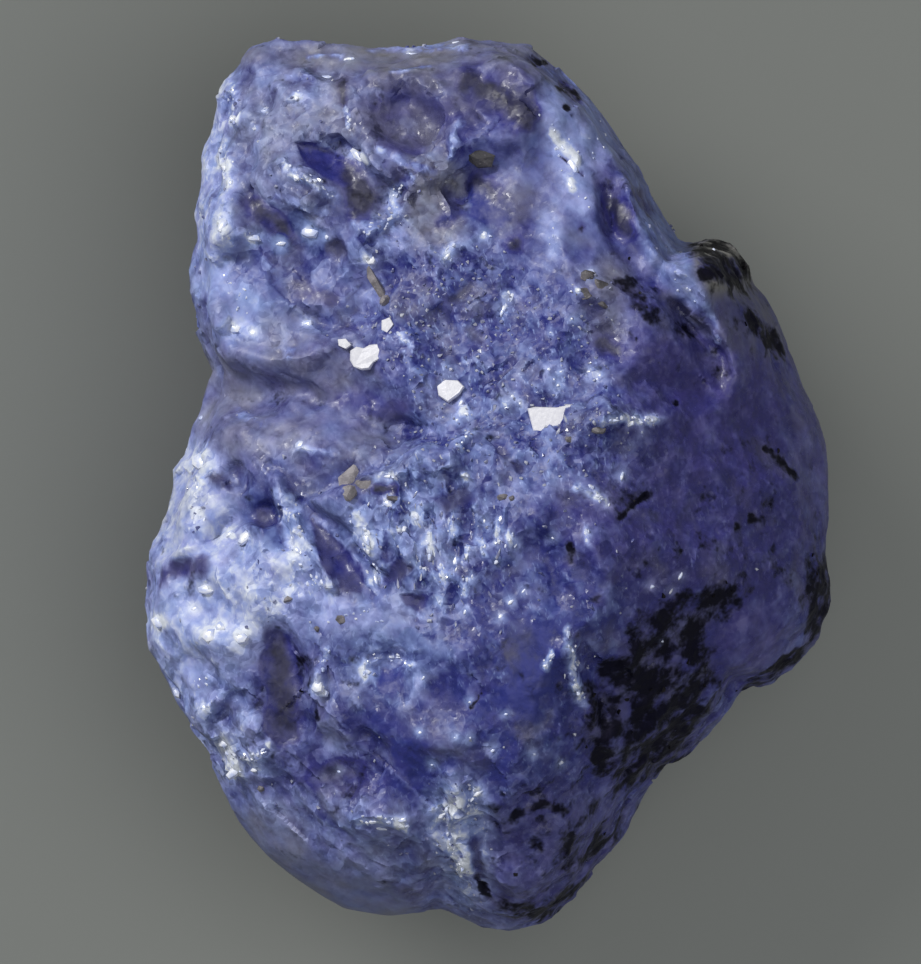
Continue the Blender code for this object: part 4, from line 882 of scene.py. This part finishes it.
def crystal_finish():
    """Clear violet-blue crystal, frosted by small breaks and covered in places by a dark film."""
    finish = Finish("rough tanzanite")
    sparkle = finish.kept("sparkle")
    middle = (0.5, 0.5, 0.5)

    # How frosted the stone is, and where the dark film lies
    patches = finish.streaks(44, (4.4, 2.1, 3.4), 2.0)
    grain = finish.noise(11.0, 1.0, 0.5)
    frosting = (finish.kept("frosted") + (patches - 0.5) * 1.2 + (grain - 0.5) * 0.7).rise(-0.1, 0.8)
    film = (finish.kept("dark") + (finish.noise(3.1, 3.0, 0.64) - 0.5) * 3.0).rise(0.42, 1.05)

    # Small broken faces, each with a tone and a lean of its own
    bend = finish.vector("SUBTRACT", finish.noise(5.0, 1.0, 0.5, name="Color"), middle)
    bent = finish.vector("ADD", finish.place, finish.vector("SCALE", bend, scale=0.22))
    broad = finish.cells(1.0, place=finish.drawn_out(-42, (5.6, 3.4, 4.5), bent))
    small = finish.cells(1.0, place=finish.drawn_out(-50, (12.0, 8.0, 10.0), bent))
    faces = broad - 0.5 + (small - 0.5) * 0.5
    lean = finish.vector("SUBTRACT", finish.vector("ADD", broad, small), (1.0, 1.0, 1.0))
    lean = finish.vector("SCALE", lean, scale=finish.kept("chipped") * 0.6 + 0.04)
    normal = finish.vector("ADD", finish.out("ShaderNodeNewGeometry", name="Normal"), lean)
    tilts = finish.vector("SUBTRACT", finish.cells(16.0), middle)

    def tilted(share):
        """The normal, tilted by this share of a random way from cell to cell."""
        way = finish.vector("SCALE", tilts, scale=share)
        return finish.vector("NORMALIZE", finish.vector("ADD", normal, way))

    clear = finish.skin((0.86, 0.88, 1.0, 1.0), grain * 0.20 + 0.15, IOR=CRYSTAL_IOR,
                        Transmission_Weight=1.0, Normal=tilted(sparkle + 0.14))
    colour = finish.mix(film * 0.92, crystal_colour(finish, patches, grain, faces), FILM)
    frosted = finish.skin(colour, grain * 0.3 + 0.40, IOR=CRYSTAL_IOR, Metallic=film * 0.85,
                          Normal=finish.bump(0.35, 0.02, grain, Normal=tilted(sparkle * 0.24)))
    covered = (frosting * (1.0 - LEAST_COVER) + LEAST_COVER).maths("MAXIMUM", film)
    outside = finish.out("ShaderNodeMixShader", {}, {0: covered, 1: clear, 2: frosted})
    inside = finish.out("ShaderNodeVolumeAbsorption", {}, {"Color": DEPTH_TINT, "Density": DEPTH_DENSITY})
    return finish.made_of(Surface=outside, Volume=inside)


def tanzanite():
    """The whole stone, finely broken, with what its material needs stored at each vertex."""
    made = stone_blank()
    points = read(made.data)
    fill_cuts(made.data, points)
    fill_waist(made.data, points)
    write(made.data, points)
    values = surface_values(points)
    marks = sink_facets(points, values) + add_marks(points, values)
    normals = read(made.data, "normal")
    points += (marks + relief(points, values))[:, None] * normals
    points[:, 2] = np.maximum(points[:, 2], 0.0)
    write(made.data, points)
    thin_out(made)

    mesh = made.data
    points = read(mesh)
    values = surface_values(points)
    # Paler on crests and darker in hollows: partly the frosting of broken edges, partly painted highlight on
    # crests and painted shade in hollows
    crest = crests(mesh, points, read(mesh, "normal"))
    crest += breakage_tone(points, values)
    sink_facets(points, values)
    add_marks(points, values)
    pale = values[:, PALE]
    # The paleness also holds the painted glow around each glint
    keep(mesh, "pale", pale + (0.3 + 0.8 * pale) * crest + 0.8 * glow(points))
    keep(mesh, "frosted", values[:, FROSTED] + 0.8 * crest)
    kept_as_they_are = {"violet": VIOLET, "grey": GREY, "dark": DARK, "sparkle": SPARKLE, "chipped": CHIPPED}
    for name, column in kept_as_they_are.items():
        keep(mesh, name, values[:, column])
    finder = surface_finder(mesh)
    scattered_pieces(mesh, values)
    bright_chips(finder)
    pale_flakes(finder)
    brown_grains(finder)

    write(mesh, points * MM)
    shade_round(mesh)
    mesh.materials.clear()
    mesh.materials.append(crystal_finish())
    STONE.objects.link(made)
    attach(made, ROOT)
    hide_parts("tanzanite")


def hull(points):
    """The corners and faces of the smallest solid that holds the points."""
    work = bmesh.new()
    for point in points:
        work.verts.new(point)
    made = bmesh.ops.convex_hull(work, input=work.verts)
    inside = {item for item in made["geom_interior"] if isinstance(item, bmesh.types.BMVert)}
    inside |= {vert for vert in work.verts if not vert.link_faces}
    bmesh.ops.delete(work, geom=list(inside), context="VERTS")
    bmesh.ops.recalc_face_normals(work, faces=work.faces)
    work.verts.index_update()
    corners = np.array([vert.co[:] for vert in work.verts])
    faces = [[vert.index for vert in face.verts] for face in work.faces]
    work.free()
    return corners, faces


def grain_shape(draw, sizes, corners):
    """A small broken crystal with flat faces."""
    points = draw.normal(size=(corners, 3))
    points /= np.linalg.norm(points, axis=1)[:, None]
    return hull(points * sizes * (0.75 + 0.25 * draw.random((corners, 1))))


def one_mesh(name, parts):
    """Many small solids in millimetres, given as corners and faces, as one mesh."""
    corners, faces, start = [], [], 0
    for points, sides in parts:
        corners.append(points)
        faces += [[start + index for index in side] for side in sides]
        start += len(points)
    mesh = bpy.data.meshes.new(name)
    mesh.from_pydata(np.concatenate(corners), [], faces)
    return mesh


def piece(name, mesh, finish=None):
    """A finished piece of the stone, from a mesh in millimetres."""
    write(mesh, read(mesh) * MM)
    if finish is not None:
        mesh.materials.clear()
        mesh.materials.append(finish)
    made = link(name, mesh)
    STONE.objects.link(made)
    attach(made, ROOT)


def turned(points, normal, spin):
    """Points spun about +Z and then tilted so that their +Z looks along the normal."""
    tilt = Vector((0.0, 0.0, 1.0)).rotation_difference(Vector(normal)).to_matrix()
    turn = tilt @ Matrix.Rotation(spin, 3, "Z")
    return points @ np.array(turn).T


def stacked(rings):
    """Rings of corners, from the top one down, joined to a closed solid."""
    count = len(rings[0])
    last = (len(rings) - 1) * count
    faces = [list(range(count)), list(range(last + count - 1, last - 1, -1))]
    for row, k in itertools.product(range(len(rings) - 1), range(count)):
        start, after = row * count, (k + 1) % count
        faces.append([start + k, start + count + k, start + count + after, start + after])
    return np.concatenate(rings), faces


def uneven_ring(draw, angles, radius, stretch, least, more):
    """A ring of corners, drawn out along +X, each at its own distance."""
    ring = np.column_stack((np.cos(angles) * stretch, np.sin(angles), np.zeros(len(angles))))
    return ring * (radius * (least + more * draw.random((len(angles), 1))))


def tablet(draw, place, normal, radius, stretch, spin):
    """A flat-topped crystal of five to seven sides, with its foot in the stone."""
    sides = int(draw.integers(5, 8))
    angles = (np.arange(sides) + 0.5 * draw.random(sides)) * 2 * math.pi / sides
    ring = uneven_ring(draw, angles, radius, stretch, 0.8, 0.3)
    corners, faces = stacked([ring + (0, 0, 0.35 * radius), ring * 1.35 - (0, 0, radius)])
    return turned(corners, normal, spin) + place, faces


def dome(draw, place, normal, radius, stretch, spin):
    """A low round top of clear crystal, with its foot in the stone."""
    sides = 7
    ring = uneven_ring(draw, np.arange(sides) * 2 * math.pi / sides, radius, stretch, 0.60, 0.65)
    steps = ((0.45, 0.17), (0.80, 0.10), (1.05, -0.06), (1.20, -0.90))
    corners, faces = stacked([ring * size + (0, 0, height * radius) for size, height in steps])
    faces[:1] = [[len(corners), k, (k + 1) % sides] for k in range(sides)]
    corners = np.concatenate((corners, [(0.0, 0.0, 0.19 * radius)]))
    return turned(corners, normal, spin) + place, faces


def surface_finder(mesh):
    """A search for the stone's surface, from a mesh in millimetres."""
    return BVHTree.FromPolygons(read(mesh).tolist(), [tuple(face.vertices) for face in mesh.polygons])


def on_top(finder, x, y):
    """The place and the normal of the stone's upper side at x and y, or none beside the stone."""
    place, normal, _, _ = finder.ray_cast(Vector((x, y, 20.0)), Vector((0, 0, -1)))
    return place, normal


def bright_chips(finder):
    """Small flat crystals on the bright crests and clear tops at the bright spots, set to catch the lamp."""
    draw = np.random.default_rng(41)
    gap = 0.09
    parts = []
    for kind, spread, size in (("bright ridge", 0.3, 0.018), ("pale patch", 0.5, 0.013)):
        for half_width, *path in MARKS[kind]:
            for start, end in itertools.pairwise(path if len(path) > 1 else path * 2):
                way = np.array(end) - start
                for _ in range(2 + int(math.dist(start, end) / gap)):
                    x, y = np.array(start) + draw.random() * way + draw.normal(size=2) * 0.5 * half_width
                    place, _ = on_top(finder, x, y)
                    if place is None:
                        continue
                    normal = np.array(CATCH_LIGHT) + draw.normal(size=3) * spread
                    radius = size * draw.uniform(0.5, 1.3)
                    spin = math.atan2(way[1], way[0])
                    parts.append(tablet(draw, place, normal, radius, draw.uniform(1.0, 2.2), spin))
    for x, y, radius, stretch, turn in GLINTS:
        place, surface = on_top(finder, x, y)
        if place is None:
            continue
        radius *= draw.uniform(0.65, 1.05)
        facing = np.array(CATCH_LIGHT) + 0.15 * np.array(surface)
        parts.append(dome(draw, place, facing, radius, stretch * draw.uniform(1.0, 1.6), math.radians(turn)))
    mesh = one_mesh("bright-chips", parts)
    shade_round(mesh)
    piece("bright-chips", mesh, bright_finish())


def pale_flakes(finder):
    """The white plates of another mineral that lie on the middle of the stone."""
    draw = np.random.default_rng(42)
    wider = 1.08
    thick = 0.05
    rows = ((0.93, thick), (1.0, 0.6 * thick), (1.0, -0.6 * thick), (0.9, -2.4 * thick))
    parts = []
    for outline, lift, lean in FLAKES:
        centre = np.mean(outline, axis=0)
        place, _ = on_top(finder, *centre)
        ring = (np.array(outline) - centre) * wider
        rings = [np.column_stack((ring * size, np.full(len(ring), height))) for size, height in rows]
        corners, faces = stacked(rings)
        corners[:, 2] += draw.normal(size=len(corners)) * 0.006
        normal = np.array(CATCH_LIGHT) * lean + (0.0, 0.0, 1.0 - lean)
        parts.append((turned(corners, normal, 0.0) + place + (0, 0, lift), faces))
    piece("pale-flakes", one_mesh("pale-flakes", parts), flake_finish())


def brown_grains(finder):
    """The dull beige and brown grains that are stuck to the stone."""
    draw = np.random.default_rng(43)
    parts = []
    tones = []
    for x, y, sizes, turn, lift, tone in BROWN_GRAINS:
        place, _ = on_top(finder, x, y)
        corners, faces = grain_shape(draw, sizes, 22)
        if place is None:
            continue
        parts.append((turned(corners, (0.0, 0.0, 1.0), math.radians(turn)) + place + (0, 0, lift), faces))
        tones += [tone] * len(corners)
    mesh = one_mesh("brown-grains", parts)
    keep(mesh, "pale", tones)
    piece("brown-grains", mesh, brown_finish())


def scatter_tree():
    """Sets shapes from a collection on a surface, denser where the surface's share is high."""
    made = Nodes(bpy.data.node_groups.new("scatter", "GeometryNodeTree"))
    made.tree.interface.new_socket("Geometry", in_out="OUTPUT", socket_type="NodeSocketGeometry")
    for name, kind in {
            "Surface": "Geometry", "Shapes": "Collection", "Share": "String", "Gap": "Float", "Most": "Float",
            "Smallest": "Float", "Largest": "Float", "Lowest Turn": "Vector", "Highest Turn": "Vector",
            "Seed": "Int", "Finish": "Material"}.items():
        made.tree.interface.new_socket(name, in_out="INPUT", socket_type=f"NodeSocket{kind}")
    given = made.node("NodeGroupInput").outputs
    share = made.out("GeometryNodeInputNamedAttribute", {"data_type": "FLOAT"}, {"Name": given["Share"]})
    points = made.out("GeometryNodeDistributePointsOnFaces", {"distribute_method": "POISSON"}, {
        "Mesh": given["Surface"], "Distance Min": given["Gap"], "Density Max": given["Most"],
        "Density Factor": share, "Seed": given["Seed"]})
    turn = made.out("FunctionNodeRandomValue", {"data_type": "FLOAT_VECTOR"}, {
        "Min": given["Lowest Turn"], "Max": given["Highest Turn"], "Seed": given["Seed"]})
    size = made.out("FunctionNodeRandomValue", {"data_type": "FLOAT"}, {
        "Min": given["Smallest"], "Max": given["Largest"], "Seed": given["Seed"]})
    shapes = made.out("GeometryNodeCollectionInfo", {}, {
        "Collection": given["Shapes"], "Separate Children": True, "Reset Children": True})
    set_on = made.out("GeometryNodeInstanceOnPoints", {}, {
        "Points": points, "Instance": shapes, "Pick Instance": True, "Scale": size,
        "Rotation": made.out("FunctionNodeEulerToRotation", {}, {"Euler": turn})})
    real = made.out("GeometryNodeRealizeInstances", {}, {"Geometry": set_on})
    finished = made.out("GeometryNodeSetMaterial", {}, {"Geometry": real, "Material": given["Finish"]})
    made.node("NodeGroupOutput", {}, {"Geometry": finished})
    return made.tree


def scatter(name, tree, stone, shapes, share, settings):
    """One piece of many small shapes set on the stone, whose mesh is still in millimetres."""
    ground = link("ground", stone.copy())
    stored = ground.data.attributes
    for attribute in [item.name for item in stored if item.data_type == "FLOAT" and item.domain == "POINT"]:
        stored.remove(stored[attribute])
    keep(ground.data, "share", np.clip(share, 0.0, 1.0))
    store = bpy.data.collections.new("shapes")
    for number, (corners, faces) in enumerate(shapes):
        mesh = bpy.data.meshes.new(f"shape-{number}")
        mesh.from_pydata(corners, [], faces)
        store.objects.link(bpy.data.objects.new(f"shape-{number}", mesh))
    modifier = ground.modifiers.new("scatter", "NODES")
    modifier.node_group = tree
    settings = {"Shapes": store, "Share": "share", **settings}
    for socket in tree.interface.items_tree:
        if socket.in_out == "INPUT" and socket.name in settings:
            modifier[socket.identifier] = settings[socket.name]
    mesh = finished_mesh(ground)
    bpy.data.objects.remove(ground)
    for made in list(store.objects):
        bpy.data.objects.remove(made)
    bpy.data.collections.remove(store)
    piece(name, mesh)


def scattered_pieces(stone, values):
    """The grains, needles and dark flecks that cover the stone where its surface values say."""
    tree = scatter_tree()
    draw = np.random.default_rng(44)
    upper = rise(UNDERSIDE_TOP, UNDERSIDE_TOP + 1.0, read(stone)[:, 2])
    flat = np.abs(read(stone, "normal")[:, 2])
    shares = {
        "crystal-grains": np.clip(values[:, GRAINY] * values[:, SPARKLE] - 0.06, 0.0, 1.0) * upper,
        "needles": np.clip(values[:, NEEDLED] - 0.25, 0.0, 1.0) * 1.4 * upper * flat,
        "graphite-flecks": np.clip(values[:, DARK] - 0.26, 0.0, 1.0) ** 1.5 * flat ** 2,
    }
    finishes = (glassy_finish(), glassy_finish(), graphite_finish())
    names = ("Gap", "Most", "Smallest", "Largest", "Lowest Turn", "Highest Turn", "Seed")
    for finish, (name, (kinds, sizes, corners, *rest)) in zip(finishes, STREWN.items()):
        shapes = [grain_shape(draw, np.array(sizes), corners) for _ in range(kinds)]
        scatter(name, tree, stone, shapes, shares[name], {"Finish": finish, **dict(zip(names, rest))})


def glassy_finish():
    """Small clean crystals: some clear, some milky, some white."""
    finish = Finish("clean crystal")
    tone = finish.noise(7.0, 1.0, 0.5).rise(0.35, 0.65)
    colour = finish.mix(tone, (0.16, 0.18, 0.46, 1.0), (0.80, 0.83, 0.95, 1.0))
    scratches = finish.noise(60.0, 2.0)
    return finish.made_of(Surface=finish.skin(
        colour, scratches * 0.16 + 0.14, IOR=CRYSTAL_IOR, Transmission_Weight=0.35,
        Normal=finish.bump(0.15, 0.004, scratches)))


def bright_finish():
    """Milky chips with a soft shine; their near-white colour partly paints the light of the glints."""
    finish = Finish("bright crystal")
    tone = finish.noise(9.0, 2.0, 0.5)
    colour = finish.mix(tone.rise(0.3, 0.7), (0.52, 0.60, 0.90, 1.0), (0.92, 0.94, 1.0, 1.0))
    return finish.made_of(Surface=finish.skin(colour, tone * 0.2 + 0.14, IOR=CRYSTAL_IOR))


def flake_finish():
    """White mineral, sugary on its faces."""
    finish = Finish("white mineral")
    sugar = finish.noise(24.0, 3.0)
    pits = finish.cells(16.0, "Distance")
    colour = finish.mix(sugar, (0.68, 0.68, 0.78, 1.0), (0.96, 0.96, 0.99, 1.0))
    return finish.made_of(Surface=finish.skin(
        colour, sugar * 0.3 + 0.25, IOR=1.55, Normal=finish.bump(0.5, 0.01, sugar + pits * 0.4)))


def brown_finish():
    """Dull mineral grains, from dark grey-brown to beige."""
    finish = Finish("brown mineral")
    fine = finish.noise(30.0, 3.0)
    pale = finish.kept("pale") + (finish.noise(5.0) - 0.5) * 1.6
    colour = finish.mix(pale, (0.055, 0.052, 0.058, 1.0), (0.36, 0.33, 0.35, 1.0))
    colour = finish.mix((fine.rise(0.55, 0.75) + pale - 0.5) * 0.6, colour, (0.50, 0.47, 0.50, 1.0))
    return finish.made_of(Surface=finish.skin(
        colour, fine * 0.3 + 0.35, IOR=1.55, Normal=finish.bump(0.6, 0.012, fine)))


def graphite_finish():
    """Thin dark flakes with a dull metallic shine."""
    finish = Finish("graphite")
    fine = finish.noise(20.0, 3.0)
    colour = finish.mix(fine, (0.004, 0.004, 0.006, 1.0), (0.020, 0.017, 0.020, 1.0))
    return finish.made_of(Surface=finish.skin(
        colour, fine * 0.3 + 0.40, Metallic=fine * 0.3 + 0.6, Normal=finish.bump(0.4, 0.01, fine)))


def floor_finish():
    """Plain grey-green, hardly uneven."""
    finish = Finish("pale floor")
    cloud = finish.noise(0.02, 2.0, 0.5)
    return finish.made_of(Surface=finish.skin(
        finish.mix(cloud, (0.352, 0.370, 0.343, 1.0), (0.374, 0.392, 0.365, 1.0)), 0.75))


def lay_floor():
    """A plain pale floor, wide enough to fill every view."""
    half = 900.0 * MM
    mesh = bpy.data.meshes.new("floor")
    corners = [(-half, -half, 0), (half, -half, 0), (half, half, 0), (-half, half, 0)]
    mesh.from_pydata(corners, [], [(0, 1, 2, 3)])
    made = link("floor", mesh)
    mesh.materials.append(floor_finish())


def lamp(name, azimuth, height, distance, width, strength, colour=(1, 1, 1)):
    """A square soft light looking at the stone; azimuth is counted from +X, both angles in degrees."""
    light = bpy.data.lights.new(name, "AREA")
    light.size = width * MM
    light.energy = strength
    light.color = colour
    made = link(name, light)
    around = math.radians(azimuth)
    up = math.radians(height)
    way = Vector((math.cos(around) * math.cos(up), math.sin(around) * math.cos(up), math.sin(up)))
    made.location = way * distance * MM + Vector((0, 0, 3 * MM))
    made.rotation_euler = way.to_track_quat("Z", "Y").to_euler()
    return made


def light_scene(stone_pieces):
    """Soft light from the upper left; the small lamp, which makes the glints, leaves the floor out."""
    lamp("broad window", 138, 38, 220, 110, 0.115, (1.0, 0.98, 0.96))
    small = lamp("small lamp", 134, 38, 160, 20, 0.130, (1.0, 0.99, 0.97))
    lamp("soft fill", -25, 70, 300, 280, 0.25)
    small.light_linking.receiver_collection = stone_pieces
    world = bpy.data.worlds.new("room")
    bpy.context.scene.world = world
    world.use_nodes = True
    background = world.node_tree.nodes["Background"].inputs
    background["Color"].default_value = (0.15, 0.155, 0.165, 1.0)
    background["Strength"].default_value = 1.0


# The camera: lens and sensor, height and middle of what it sees, and the height of the stone's widest part
LENS = 1000.0
SENSOR = 36.0
FRAME_HEIGHT = 12.853
FRAME_CENTRE = (-0.373, 0.007)
WIDEST_HEIGHT = 3.1


def set_camera():
    """Straight above the stone, with a long lens, as the photograph was taken."""
    camera = bpy.data.cameras.new("camera")
    camera.lens = LENS
    camera.sensor_width = SENSOR
    distance = FRAME_HEIGHT * LENS / SENSOR
    camera.clip_start = distance * 0.2 * MM
    camera.clip_end = distance * 5.0 * MM
    made = link("camera", camera)
    made.location = (FRAME_CENTRE[0] * MM, FRAME_CENTRE[1] * MM, (WIDEST_HEIGHT + distance) * MM)
    bpy.context.scene.camera = made


STONE = bpy.data.collections.new("pieces of the stone")
set_camera()
light_scene(STONE)
lay_floor()
tanzanite()

scene = bpy.context.scene
scene.view_settings.view_transform = "Standard"
scene.cycles.max_bounces = 3
scene.cycles.diffuse_bounces = 1
scene.cycles.glossy_bounces = 1
scene.cycles.transmission_bounces = 3
